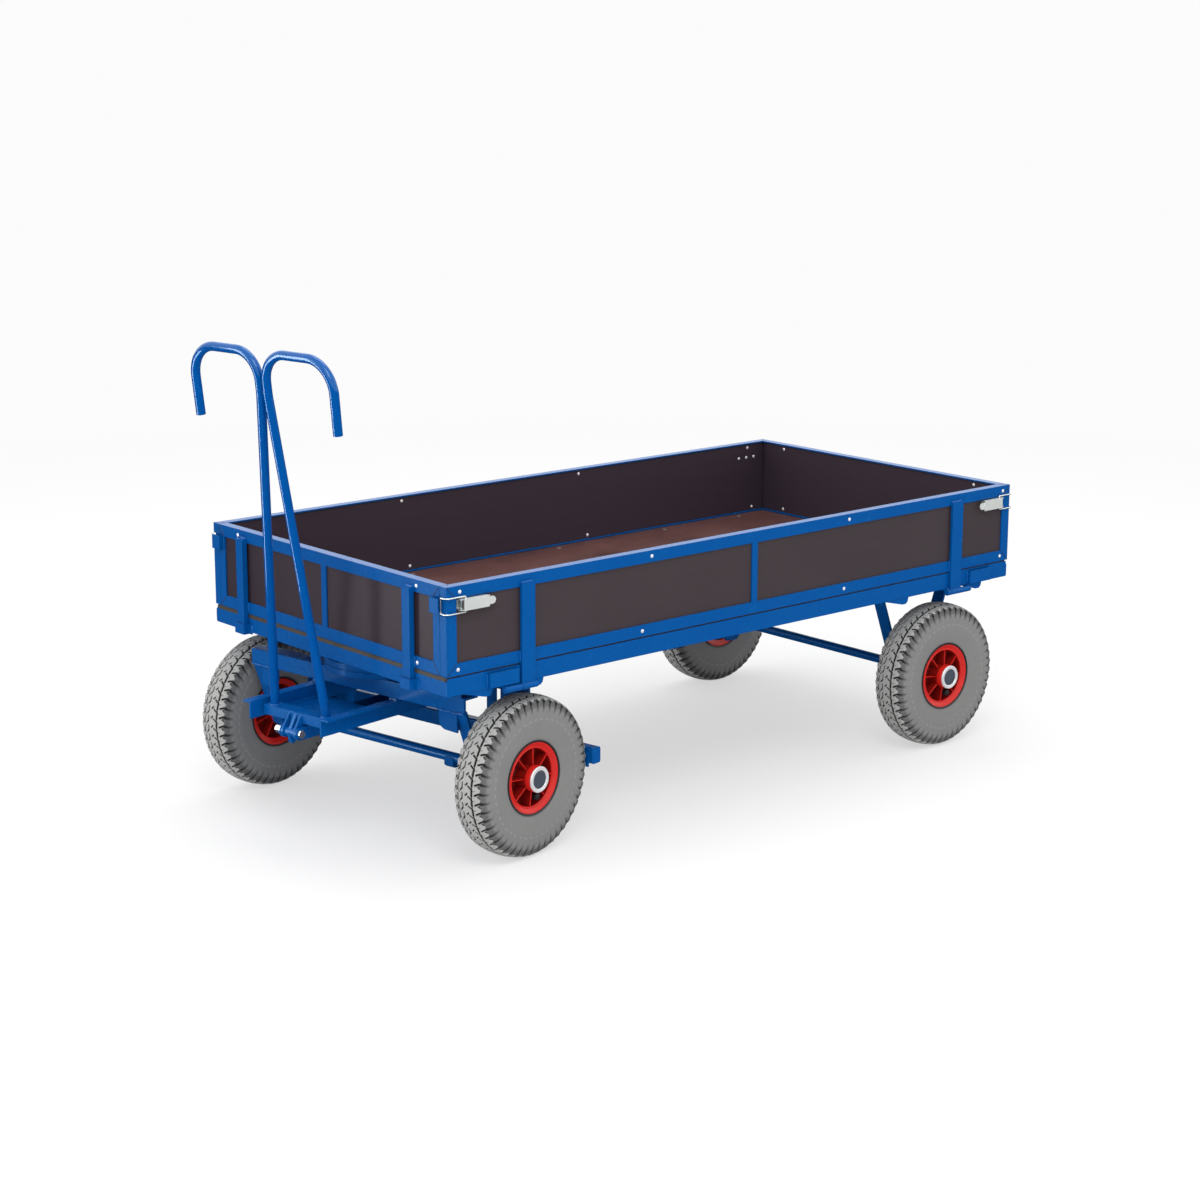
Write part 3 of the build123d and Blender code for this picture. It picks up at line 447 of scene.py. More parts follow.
def chamfered_box(corner, opposite, chamfer):
    low = Vector([min(pair) for pair in zip(corner, opposite)])
    high = Vector([max(pair) for pair in zip(corner, opposite)])
    size, middle = high - low, (high + low) / 2
    box = bmesh.new()
    bmesh.ops.create_cube(box, size=1.0)
    for vert in box.verts:
        vert.co = Vector([unit * length for unit, length in zip(vert.co, size)]) + middle
    bmesh.ops.bevel(box, geom=box.edges[:], offset=min(chamfer, min(size) * 0.45), segments=1,
                    profile=0.5, affect="EDGES")
    box.verts.index_update()
    verts = [vert.co.copy() for vert in box.verts]
    faces = [[vert.index for vert in face.verts] for face in box.faces]
    box.free()
    return verts, faces


def tube(path, radius, sides, wobble=0.0, seed=0):
    """A capped tube along a path; wobble varies its radius and thins its ends."""
    path = [Vector(point) for point in path]
    rng = np.random.default_rng(seed)
    verts, faces = [], []
    start = (path[1] - path[0]).normalized()
    side = start.cross(Vector((0, 0, 1)))
    if side.length < 1e-3:
        side = start.cross(Vector((1, 0, 0)))
    side.normalize()
    last = len(path) - 1
    for k, point in enumerate(path):
        along = (path[min(k + 1, last)] - path[max(k - 1, 0)]).normalized()
        side = (side - along * side.dot(along)).normalized()
        other = along.cross(side)
        size = radius * (1 + wobble * (rng.random() - 0.5) * 2)
        if wobble and k in (0, last):
            size *= 0.45
        for q in range(sides):
            angle = 2 * math.pi * q / sides
            verts.append(point + side * math.cos(angle) * size + other * math.sin(angle) * size)
    for k in range(last):
        for q in range(sides):
            here, beside = k * sides + q, k * sides + (q + 1) % sides
            faces.append((here, beside, beside + sides, here + sides))
    faces.append(tuple(range(sides - 1, -1, -1)))
    faces.append(tuple(range(last * sides, (last + 1) * sides)))
    return verts, faces


BEAD_SEEDS = itertools.count(1)   # every weld bead takes the next seed
BEAD_PITCH = 0.0022               # ripple length


def bead(start, end, radius):
    """A weld bead: a straight rippled line."""
    start, end = Vector(start), Vector(end)
    count = max(4, int((end - start).length / BEAD_PITCH))
    points = [start.lerp(end, k / count) for k in range(count + 1)]
    return tube(points, radius, sides=8, wobble=0.22, seed=next(BEAD_SEEDS))


def upright_bead(x, y, z_span, radius):
    return bead((x, y, z_span[0]), (x, y, z_span[1]), radius)


# ---------------------------------------------------------------- tyres
PITCHES, STEPS = 50, 22      # tread pitches round the tyre, mesh steps in each
PITCH_MM = 2 * math.pi * (TYRE_RADIUS * 1000) / PITCHES
# half of the outer section, crown to bead: (distance from the middle plane, radius)
HALF_SECTION = np.array([
    (0.0, TYRE_RADIUS), (0.013, 0.1994), (0.026, 0.1976), (0.036, 0.1950), (0.0425, 0.1905),
    (0.0462, 0.1850), (0.0482, 0.1780), (0.0492, 0.1690), (0.0496, 0.1600), (0.0493, 0.1500),
    (0.0486, 0.1380), (0.0474, 0.1260), (0.0458, 0.1140), (0.0440, 0.1040), (0.0426, 0.0970),
    (0.0404, 0.0925)])
# the inner surface: (distance along the axle, radius)
BORE_RADIUS = 0.0920
BORE = np.array([(0.0395, 0.0922), (0.020, BORE_RADIUS), (-0.020, BORE_RADIUS),
                 (-0.0395, 0.0922)])
# tread cuts of one pitch: from and to (across mm, round the tyre in pitches), half width mm,
# depth mm
CUTS = [
    ((20.5, 0.49), (20.3, 1.17), 1.55, 5.6), ((20.3, 1.15), (20.5, 1.50), 0.55, 2.6),
    ((9.6, 0.20), (20.6, 0.50), 0.95, 4.6), ((1.5, 0.13), (7.2, -0.07), 0.85, 3.8),
    ((-8.5, -0.04), (-8.5, 0.44), 0.85, 4.0), ((-8.5, 0.43), (-15.2, 0.73), 0.85, 4.0),
    ((-22.5, 0.77), (-17.8, 0.95), 0.55, 2.6), ((-24.0, 0.13), (-24.0, 0.58), 1.15, 4.6),
    ((-24.0, 0.57), (-29.0, 0.78), 1.05, 4.2),
    ((29.6, 0.01), (39.5, -0.17), 1.25, 5.2), ((39.5, -0.17), (47.0, -0.15), 1.1, 4.4),
    ((37.6, 0.12), (42.8, 0.31), 0.75, 2.6), ((25.0, 0.62), (29.5, 0.58), 0.40, 1.4),
    ((-30.6, 0.49), (-39.5, 0.67), 1.25, 5.2), ((-39.5, 0.67), (-47.0, 0.65), 1.1, 4.4),
    ((-37.6, 0.38), (-42.8, 0.19), 0.75, 2.6),
]
# outer edge of the shoulder lugs over one pitch: place in pitches, distance from the crown mm
LUG_START = -0.17
LUG_PLACES = [LUG_START, 0.0, 0.12, 0.22, 0.30, 0.42, 0.55, 0.70, 0.83]
LUG_EDGES = [39.6, 38.6, 38.2, 41.0, 43.0, 44.0, 43.6, 41.6, 39.6]
FLUTE_DEPTH = 4.8            # mm
FLUTE_START, FLUTE_END = 38.0, 84.0   # mm from the crown
PIPS = ((12, 0.1375, 0.0019), (5, 0.1210, 0.0024))   # count, ring radius, pip radius


def ease(x):
    """Smooth step from 0 to 1."""
    x = np.clip(x, 0, 1)
    return x * x * (3 - 2 * x)


def tyre_section():
    """Section from bead to bead: mm from the crown, place along the axle, radius, normal."""
    lengths = np.hypot(*np.diff(HALF_SECTION, axis=0).T)
    reach = np.concatenate([[0], np.cumsum(lengths)])
    # close steps over the tread, wider ones down the sidewall
    samples = np.concatenate([np.arange(0, 0.0475, 0.00105), np.arange(0.0485, 0.0860, 0.0021),
                              [0.0868, 0.0878, 0.0888], np.linspace(0.0920, reach[-1], 15)])
    along = np.interp(samples, reach, HALF_SECTION[:, 0])
    radius = np.interp(samples, reach, HALF_SECTION[:, 1])
    kernel = np.array([1, 2, 1]) / 4.0
    for _ in range(3):                      # soften the polyline
        along[1:-1] = np.convolve(along, kernel, "valid")
        radius[1:-1] = np.convolve(radius, kernel, "valid")
    along = np.concatenate([-along[::-1][:-1], along])
    radius = np.concatenate([radius[::-1][:-1], radius])
    across = np.concatenate([-samples[::-1][:-1], samples]) * 1000.0
    d_along, d_radius = np.gradient(along), np.gradient(radius)
    length = np.hypot(d_along, d_radius)
    return across, along, radius, (-d_radius / length, d_along / length)


def cut_depth(across, turn):
    """Depth in mm of the straight tread cuts, repeated from pitch to pitch."""
    depth = np.zeros_like(across)
    round_mm = turn * PITCH_MM
    for start, end, half_width, deepest in CUTS:
        nearest = np.full_like(across, 1e9)
        for shift in (-2, -1, 0, 1, 2):
            x0, y0 = start[0], (start[1] + shift) * PITCH_MM
            dx, dy = end[0] - x0, (end[1] + shift) * PITCH_MM - y0
            t = np.clip(((across - x0) * dx + (round_mm - y0) * dy) / (dx ** 2 + dy ** 2), 0, 1)
            nearest = np.minimum(nearest, np.hypot(across - x0 - t * dx, round_mm - y0 - t * dy))
        wall = np.clip(0.5 - (nearest - half_width - 0.95) / 1.0, 0, 1)
        depth = np.maximum(depth, deepest * wall)
    return depth


def lug_edge(turn):
    return np.interp((turn - LUG_START) % 1.0 + LUG_START, LUG_PLACES, LUG_EDGES)


def pitch_relief(section_across, radius):
    """One tread pitch: depth mm, painted shade for the grooves and flutes, and the cap mask,
    which also places the painted light on the caps. The -Y side is half turned.
    """
    across, turn = np.meshgrid(section_across, -np.arange(STEPS) / STEPS)
    side_turn = np.where(across > 0, turn, 0.5 - turn)
    crown_distance = np.abs(across)
    depth = cut_depth(across, turn)
    # the shoulder drops beside the bulb-ended lugs
    cap = np.clip(0.5 + (lug_edge(side_turn) - crown_distance) / 1.1, 0, 1)
    depth = np.maximum(depth, (1 - cap) * 1.5 * ease((radius - 0.168) / 0.014))
    # slanting flutes down the shoulder, one side of each steeper
    run = np.clip((crown_distance - FLUTE_START) / 34.0, 0, 1)
    saw = (side_turn + 0.12 - 0.20 * run + 0.5) % 1.0 - 0.5
    valley = np.where(saw < 0, ease(1 + saw / 0.26), ease(1 - saw / 0.44))
    fade = ease((crown_distance - FLUTE_START) / 5.0) * ease((FLUTE_END - crown_distance) / 34.0)
    flute = FLUTE_DEPTH * valley * fade
    depth = np.maximum(depth, flute)
    # painted shade: the full depth in the cuts, 60% of the flute depth in the flutes
    groove_painted_shade = np.where(depth > flute + 0.05, depth, flute * 0.60)
    return depth, groove_painted_shade, cap


def sidewall_relief(turn, along, radius):
    """Rings, a raised band and pips: lift in metres, and the mask of the painted highlight on
    the dashed ring.
    """
    dash = np.clip(1.5 - np.abs((turn * 46 * 2.0) % 2.0 - 1.0) * 2.2, 0.0, 1.0)
    ring = np.exp(-((radius - 0.1460) / 0.0008) ** 2)
    lift = 0.0007 * ring * (0.45 + 0.55 * dash)
    lift = lift + 0.0005 * np.exp(-((radius - 0.1080) / 0.0014) ** 2)
    lift = lift + 0.0005 * ease((radius - 0.1300) / 0.0015) * ease((0.1455 - radius) / 0.0015)
    pip = np.zeros_like(lift)
    for count, ring_radius, pip_radius in PIPS:
        aside = np.abs((turn * count + 0.3) % 1.0 - 0.5) * 2 * math.pi * ring_radius / count
        bump = 1.6 - np.hypot(aside, radius - ring_radius) / pip_radius
        pip = np.maximum(pip, np.clip(bump, 0, 1))
    lift = lift + 0.0009 * pip
    # nothing rises beyond the tyre's half width
    lift = np.minimum(lift, np.maximum(0.0, 0.0500 - np.abs(along)))
    return lift, ring * dash * (radius > 0.14)


def tyre_mesh():
    """Solid tyre with moulded tread; its attributes drive the rubber's colour, with painted
    shade in the grooves, painted light on the caps and a painted highlight on the ring dashes.
    """
    across, along, radius, (normal_along, normal_radius) = tyre_section()
    depth, groove_painted_shade, cap = [np.tile(grid, (PITCHES, 1)) for grid in pitch_relief(across, radius)]
    rings = PITCHES * STEPS
    turn = (np.arange(rings) / STEPS)[:, None] / PITCHES
    lift, ring_painted_highlight = sidewall_relief(turn, along, radius)
    offset = lift - depth * 0.001

    def with_bore(grid, bore):
        return np.concatenate([grid, np.broadcast_to(bore, (rings, len(BORE)))], 1)

    full_along = with_bore(along + normal_along * offset, BORE[:, 0])
    full_radius = with_bore(radius + normal_radius * offset, BORE[:, 1])
    angle = turn * 2 * math.pi
    verts = np.stack([np.cos(angle) * full_radius, full_along, np.sin(angle) * full_radius], -1)
    faces = ring_faces(rings, full_along.shape[1])
    mesh = bpy.data.meshes.new("tyre_treaded")
    mesh.vertices.add(verts.size // 3)
    mesh.vertices.foreach_set("co", verts.reshape(-1).astype(np.float32))
    mesh.loops.add(faces.size)
    mesh.loops.foreach_set("vertex_index", faces.reshape(-1).astype(np.int32))
    mesh.polygons.add(len(faces))
    mesh.polygons.foreach_set("loop_start", np.arange(0, faces.size, 4, dtype=np.int32))
    finish_mesh(mesh, sharp_angle=40)
    radius_grid = np.broadcast_to(radius, depth.shape)
    for label, grid, bore in (("radius", radius_grid, BORE_RADIUS), ("groove_painted_shade", groove_painted_shade, 0.0),
                              ("cap", cap, 0.0), ("ring_painted_highlight", ring_painted_highlight, 0.0)):
        values = with_bore(grid, bore).reshape(-1).astype(np.float32)
        mesh.attributes.new(label, "FLOAT", "POINT").data.foreach_set("value", values)
    mesh.materials.append(TYRE)
    return mesh


# ---------------------------------------------------------------- rims and hubs
# All profiles are (distance along the axle, radius); +Y points out of the cart.
RIB_COUNT, RIB_PHASE = 8, math.radians(5.0)
RIB_INNER, RIB_OUTER = 0.0295, 0.0722    # radii where a rib starts and ends
RIM_PROFILE = [
    (-0.048, 0.0236), (0.057, 0.0236), (0.057, 0.0296), (0.049, 0.0300), (0.0055, 0.0312),
    (0.0045, 0.0450), (0.0045, 0.0640), (0.0060, 0.0705), (0.0340, 0.0718), (0.0362, 0.0735),
    (0.0362, 0.0748), (0.0345, 0.0760), (0.0352, 0.0775), (0.0402, 0.0850), (0.0412, 0.0880),
    (0.0405, 0.0908), (-0.0412, 0.0908), (-0.0412, 0.0850), (-0.0345, 0.0735),
    (-0.0330, 0.0715), (-0.0060, 0.0700), (-0.0045, 0.0640), (-0.0045, 0.0450),
    (-0.0055, 0.0312), (-0.044, 0.0300), (-0.048, 0.0296)]
COLLAR_PROFILE = [(0.0400, 0.0290), (0.0545, 0.0290), (0.0545, 0.0318), (0.0440, 0.0326),
                  (0.0400, 0.0326)]
SEAL_PROFILE = [(0.0392, 0.0885), (0.0424, 0.0885), (0.0440, 0.0930), (0.0392, 0.0930)]
VALVE_PROFILE = [(0.002, 0.0006), (0.002, 0.0098), (0.006, 0.0094), (0.010, 0.0078),
                 (0.018, 0.0066), (0.027, 0.0062), (0.0275, 0.0078), (0.0405, 0.0076),
                 (0.0425, 0.0062), (0.0432, 0.0006)]
HUB_RING_PROFILE = [(0.0571, 0.0228), (0.0610, 0.0228), (0.0616, 0.0245), (0.0616, 0.0300),
                    (0.0606, 0.0322), (0.0571, 0.0325)]
HUB_LIP_PROFILE = [(0.0610, 0.0292), (0.0619, 0.0292), (0.0619, 0.0312), (0.0610, 0.0312)]
SLEEVE_INNER, SLEEVE_OUTER = 0.0126, 0.0234


def rib(side):
    """A rib along +X on one face of the web, thinner towards its crest."""
    inner_y, outer_y = (0.0375, 0.0350) if side > 0 else (0.0340, 0.0330)
    root, crest = 0.0021, 0.0013         # half thicknesses
    rows = [(0.003, root), (0.6, root * 0.85), (0.93, crest), (1.0, crest * 0.45)]
    # stations: radius, crest height, thickening
    stations = [(RIB_INNER, inner_y, 1.25), (RIB_INNER + 0.006, inner_y, 1.0),
                (RIB_OUTER - 0.006, outer_y, 1.0), (RIB_OUTER, outer_y, 1.3)]
    verts, faces = [], []
    for x, height, flare in stations:
        verts += [(x, side * height * share, -half * flare) for share, half in rows]
        verts += [(x, side * height * share, half * flare) for share, half in reversed(rows)]
    around = 2 * len(rows)
    for i in range(3):
        for j in range(around):
            after = (j + 1) % around
            faces.append((i * around + j, (i + 1) * around + j,
                          (i + 1) * around + after, i * around + after))
    faces += [tuple(range(around)), tuple(range(4 * around - 1, 3 * around - 1, -1))]
    return verts, faces if side > 0 else [face[::-1] for face in faces]


def rim_mesh():
    """Moulded plastic rim: flange, stepped bed, dished web, tapered ribs and hub tube."""
    rim = Shells()
    verts, faces = lathe(rounded(RIM_PROFILE, 0.0012, steps=3), 96)
    # the web and the foot of the bed get the darker red, painted shade in the recess
    x, y, z = verts[faces].mean(1).T
    radius = np.hypot(x, z)
    painted_shade_faces = (np.abs(y) < 0.033) & (radius > 0.0305) & (radius < 0.0722)
    rim.add((verts, faces), slot=painted_shade_faces.astype(int).tolist())
    # so do the ribs' sides, painted shade; their crests and ends keep the lit red
    rib_shade_slots = [1, 1, 0, 0, 0, 1, 1, 1] * 3 + [0, 0]
    for k in range(RIB_COUNT):
        turn = Matrix.Rotation(-(RIB_PHASE + k * 2 * math.pi / RIB_COUNT), 4, "Y")
        for side in (1, -1):
            rim.add(rib(side), rib_shade_slots, turn)
    rim.add(lathe(rounded(COLLAR_PROFILE, 0.0012, steps=3), 72))
    return rim.mesh("rim_moulded", [RED, RED_PAINTED_SHADE], sharp_angle=40)


def seal_mesh():
    """Thin dark rings where tyre and rim meet."""
    seal = Shells()
    for side in (1, -1):
        profile = [(side * along, radius) for along, radius in SEAL_PROFILE]
        verts, faces = lathe(rounded(profile, 0.0009), 96)
        seal.add((verts, faces if side > 0 else faces[:, ::-1]))
    return seal.mesh("bead_seal", [BLACK], sharp_angle=40)


def valve_mesh():
    """Rubber valve stem with its knurled cap."""
    knurls = 14
    valve = Shells()
    valve.add(lathe(rounded(VALVE_PROFILE, 0.0010), 28))
    for k in range(knurls):
        knurl = chamfered_box((-0.0006, 0.0290, 0.0073), (0.0006, 0.0395, 0.0083), 0.0003)
        valve.add(knurl, matrix=Matrix.Rotation(2 * math.pi * k / knurls, 4, "Y"))
    return valve.mesh("valve_stem", [BLACK], sharp_angle=40)


def hub_mesh():
    """Bright flange ring with a rolled lip, and two bearing sleeves behind it."""
    hub = Shells()
    hub.add(lathe(rounded(HUB_RING_PROFILE, 0.0011), 72))
    hub.add(lathe(rounded(HUB_LIP_PROFILE, 0.0004), 72))
    for start, end in ((-0.046, -0.034), (0.043, 0.055)):
        sleeve = [(start, SLEEVE_INNER), (end, SLEEVE_INNER), (end, SLEEVE_OUTER),
                  (start, SLEEVE_OUTER)]
        hub.add(lathe(rounded(sleeve, 0.0006), 48), slot=1)
    return hub.mesh("hub_ring", [HUB_STEEL, STEEL], sharp_angle=40)


# ---------------------------------------------------------------- wheels
# name, axle, side, turn about the axle in degrees
WHEELS = (("front_left", KING, -1, 0), ("front_right", KING, 1, 35),
          ("rear_left", REAR, -1, 0), ("rear_right", REAR, 1, 80))
HALF_TURN = Matrix.Rotation(math.pi, 4, "Z")
# the valve lies below the hub on an unturned wheel, seen from outside a little to the right
VALVE_RADIUS, VALVE_ANGLE = 0.053, math.radians(-90 - 15)
VALVE_PLACE = Matrix.Translation((VALVE_RADIUS * math.cos(VALVE_ANGLE), 0.0,
                                  VALVE_RADIUS * math.sin(VALVE_ANGLE)))


def build_wheels():
    tyre, rim, seal, valve, hub = tyre_mesh(), rim_mesh(), seal_mesh(), valve_mesh(), hub_mesh()
    for tag, axle, side, spin in WHEELS:
        body = "wheel_" + tag
        facing = Matrix.Identity(4) if side > 0 else HALF_TURN
        wheel = axle @ Matrix.Translation((0, side * WHEEL_Y, AXLE_Z)) @ facing
        wheel = wheel @ Matrix.Rotation(math.radians(spin), 4, "Y")
        tread = wheel if side < 0 else wheel @ HALF_TURN
        place("tread_" + tag, tyre, body, "tyre_grey", tread, replaces="tyre_" + tag)
        place("wheelrim_" + tag, rim, body, "rim_red", wheel, replaces="rim_" + tag)
        place("beadseal_" + tag, seal, body, "tyre_grey", wheel)
        place("valve_" + tag, valve, body, "tyre_grey", wheel @ VALVE_PLACE)
        place("hubring_" + tag, hub, body, "bright_steel", wheel, replaces="bearing_" + tag)


build_wheels()

# ---------------------------------------------------------------- rivets
OUTER_HEAD, INNER_HEAD, LATCH_HEAD = (.0048, .0022), (.0046, .0018), (.0036, .0014)  # r, height
SIDE_RIVET_Y, END_RIVET_X = .4929, .9899   # seats of the outer heads
RIVET_GRIP = .0208                         # outer to inner seat
SHANK_HALF, SHANK_SINK = .0021, .0001      # half width, and reach into each head
RIVET_LOW_Z, RIVET_HIGH_Z = .5110, .6960
RIVET_END_Y = .379
# x of the upper row, x of the lower row
SIDE_RIVETS = {
    -1: ((-.950, -.354, .345, .961), (-.957, -.384, .330, .957)),
    1: ((-.950, -.404, .228, .904), (-.957, -.379, .262, .926)),
}
LATCH_RIVET_X, LATCH_RIVET_Y, LATCH_Z = (.931, .900, .869), .4908, .666
# domed head: share of height, share of radius
DOME = ((.25, .98), (.55, .86), (.82, .58), (.96, .28))


def dome(rivets, seat, axis, head):
    """A snap head on a surface, its axis pointing outwards."""
    radius, height = head
    profile = [(0.0, 0.0001), (0.0, radius)]
    profile += [(height * rise, radius * width) for rise, width in DOME]
    profile.append((height, 0.0001))
    turn = Vector((0, 1, 0)).rotation_difference(Vector(axis)).to_matrix().to_4x4()
    rivets.add(lathe(profile, 20), matrix=Matrix.Translation(seat) @ turn)


def through_rivet(rivets, seat, axis):
    """Outer head, inner head and square shank; the axis is a signed unit axis."""
    seat, axis = Vector(seat), Vector(axis)
    dome(rivets, seat, axis, OUTER_HEAD)
    dome(rivets, seat - axis * RIVET_GRIP, -axis, INNER_HEAD)
    across = Vector([1 - abs(part) for part in axis]) * SHANK_HALF
    rivets.add(chamfered_box(seat + axis * SHANK_SINK - across,
                             seat - axis * (RIVET_GRIP + SHANK_SINK) + across, .001))


for side, tag in SIDES:
    rivets = Shells()
    for row, z in zip(SIDE_RIVETS[side], (RIVET_HIGH_Z, RIVET_LOW_Z)):
        for x in row:
            through_rivet(rivets, (x, side * SIDE_RIVET_Y, z), (0, side, 0))
    for end in (-1, 1):
        for x in LATCH_RIVET_X:
            inner_y = side * (SIDE_RIVET_Y - RIVET_GRIP)
            dome(rivets, (end * x, inner_y, LATCH_Z), (0, -side, 0), INNER_HEAD)
            if x != LATCH_RIVET_X[-1]:     # the last one shows on the inside only
                dome(rivets, (end * x, side * LATCH_RIVET_Y, LATCH_Z), (0, side, 0), LATCH_HEAD)
    place("rivets_side_" + tag, rivets.mesh("rivets", [ALLOY], sharp_angle=50),
          "side_board_" + tag, "rivet_alloy", replaces="side_board_rivets_" + tag)
for end, tag in ENDS:
    rivets = Shells()
    for y in (-RIVET_END_Y, RIVET_END_Y):
        for z in (RIVET_HIGH_Z, RIVET_LOW_Z):
            through_rivet(rivets, (end * END_RIVET_X, y, z), (end, 0, 0))
    place("rivets_end_" + tag, rivets.mesh("rivets", [ALLOY], sharp_angle=50),
          "end_board_" + tag, "rivet_alloy", replaces="end_board_rivets_" + tag)

# ---------------------------------------------------------------- weld beads and mitre seams
POST_SPANS_X = ((-.772, -.731), (.7455, .788))   # welded stretches of the side boards
END_POST_Y = .354
FOOT_Z = (.500, .524)              # upright beads at the boards' lower rails
SEAM_RADIUS, TOP_SEAM_RADIUS = .00100, .0006
# corner seams, upper and lower rail: z at the outer end, z at the inner end, z of the edge seam
SIDE_MITRES = ((.7090, .6820, .7108), (.4985, .5255, .4967))
END_MITRES = ((.7090, .6835), (.4985, .5240))    # the same without the edge seam
BARREL_X = (-.826, .868)           # middles of the barrels on the platform sides


def place_painted(name, shells, material, body, matrix=None):
    mesh = shells.mesh("painted", [material], sharp_angle=60)
    place(name, mesh, body, "paint_blue", matrix)


def side_board_seams(side, tag):
    welds, mitres = Shells(), Shells()
    for x0, x1 in POST_SPANS_X:
        y, z = side * .4945, .6905
        welds.add(bead((x0 + .002, y, z), (x1 - .002, y, z), .0034))
        for x in (x0, x1):
            welds.add(upright_bead(x, side * .4935, FOOT_Z, .0020))
    for end in (-1, 1):
        for outer_z, inner_z, edge_z in SIDE_MITRES:
            mitres.add(tube([(end * .9885, side * .4930, outer_z),
                             (end * .9615, side * .4930, inner_z)], SEAM_RADIUS, 6))
            mitres.add(tube([(end * .9885, side * .4925, edge_z),
                             (end * .967, side * .4700, edge_z)], TOP_SEAM_RADIUS, 6))
    place_painted("welds_side_" + tag, welds, WELD, "side_board_" + tag)
    place_painted("mitres_side_" + tag, mitres, SEAM, "side_board_" + tag)


def end_board_seams(end, tag):
    welds, mitres = Shells(), Shells()
    for y in (-END_POST_Y, END_POST_Y):
        x, z = end * .9915, .6915
        welds.add(bead((x, y - .013, z), (x, y + .013, z), .0040))
        for edge in (-1, 1):
            welds.add(upright_bead(end * .9905, y + edge * .0155, FOOT_Z, .0022))
    for side in (-1, 1):
        welds.add(upright_bead(end * .9905, side * .4455, (.650, .682), .0018))
        for outer_z, inner_z in END_MITRES:
            mitres.add(tube([(end * .9900, side * .4655, outer_z),
                             (end * .9900, side * .4430, inner_z)], SEAM_RADIUS, 6))
    place_painted("welds_end_" + tag, welds, WELD, "end_board_" + tag)
    place_painted("mitres_end_" + tag, mitres, SEAM, "end_board_" + tag)


def platform_welds():
    """Beads at the end pockets, the rail corners and the side barrels."""
    welds = Shells()
    for end in (-1, 1):
        for side in (-1, 1):
            for edge in (-1, 1):
                y = side * END_POST_Y + edge * .0312
                welds.add(upright_bead(end * .9905, y, (.447, .469), .0018))
            welds.add(upright_bead(end * .9895, side * .4905, (.4515, .4840), .0011))
    for x in BARREL_X:
        for side in (-1, 1):
            for edge in (-1, 1):
                welds.add(upright_bead(x + edge * .0448, side * .4925, (.454, .486), .0020))
    place_painted("welds_platform", welds, WELD, "platform")


def bogie_welds():
    """Beads on the bogie, in its own axes about the kingpin."""
    welds = Shells()
    # distance in X, y from and to, z, bead radius
    crosswise = ((.119, .338, .374, .3615, .0022), (.1185, .286, .336, .3605, .0018))
    for end in (-1, 1):
        for side in (-1, 1):
            for x, y0, y1, z, radius in crosswise:
                welds.add(bead((end * x, side * y0, z), (end * x, side * y1, z), radius))
    for side in (-1, 1):
        welds.add(bead((-.119, side * .1225, .357), (-.119, side * .149, .357), .0020))
        y, z = side * .1215, .3225
        welds.add(bead((-.260, y, z), (-.124, y, z), .0016))
    place_painted("welds_bogie", welds, WELD, "bogie", KING)


def drawbar_welds():
    """A ring bead on each side of the drawbar, in the bogie's axes."""
    welds = Shells()
    x, y, z, ring_radius = -.2995, .0905, .3432, .0128
    for side in (-1, 1):
        ring = [(x + ring_radius * math.cos(angle), side * y + ring_radius * math.sin(angle), z)
                for angle in np.linspace(0, 2 * math.pi, 28)]
        welds.add(tube(ring, .0022, sides=8, wobble=.18, seed=next(BEAD_SEEDS)))
    place_painted("welds_drawbar", welds, WELD, "drawbar", KING)


for side, tag in SIDES:
    side_board_seams(side, tag)
for end, tag in ENDS:
    end_board_seams(end, tag)
platform_welds()
bogie_welds()
drawbar_welds()

# ---------------------------------------------------------------- finish of the CAD pieces
# name pattern and material; the first match counts
FINISHES = (
    ("side_board_panel*", PANEL_SIDE), ("end_board_panel*", PANEL_END), ("deck_panel", DECK),
    ("latch_lever*", LEVER), ("deck_screws", SCREW), ("latch_loop*", ZINC),
    ("latch_base*", ZINC), ("drawbar_bolt", ZINC), ("drawbar_nuts", ZINC),
    ("turntable_balls", ZINC), ("*axle_caps*", CAP_STEEL), ("tyre*", TYRE), ("rim*", RED),
    ("bearing*", HUB_STEEL), ("*rivets*", ALLOY), ("drawbar_tubes", BLUE_TUBE), ("*", BLUE),
)
for name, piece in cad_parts.items():
    finish = next(material for pattern, material in FINISHES if fnmatchcase(name, pattern))
    slots = piece.data.materials
    if not slots:
        slots.append(finish)
    for k in range(len(slots)):
        slots[k] = finish


# ---------------------------------------------------------------- floor
def pale_floor():
    """Near-white floor that fades into the surround and reflects as dark blue."""
    tree = Tree("pale_floor")
    cloud = tree.noise(scale=1.5, detail=2.0)
    ray = tree.node("LightPath").outputs
    base = tree.mix(cloud, (0.930, 0.930, 0.930), (0.945, 0.945, 0.945))
    base = tree.mix(ray["Is Glossy Ray"], base, (0.02, 0.045, 0.10))
    material = tree.set(Base_Color=base, Roughness=0.9, Specular_IOR_Level=0.0)
    # the camera sees a share of plain glow, which also fills the shadows in a little
    distance = tree.node("VectorMath", {0: tree.geometry("Position")},
                         operation="LENGTH").outputs["Value"]
    least_glow = 0.58
    glow = tree.math("MAXIMUM", tree.step(distance, low=2.6, high=6.0), least_glow)
    emission = tree.node("Emission", {"Color": (0.97, 0.97, 0.97), "Strength": 1.0}).outputs[0]
    both = tree.node("MixShader", {0: tree.mul(ray["Is Camera Ray"], glow),
                                   1: tree.surface.outputs[0], 2: emission})
    tree.links.new(both.outputs[0], tree.output.inputs[0])
    return material


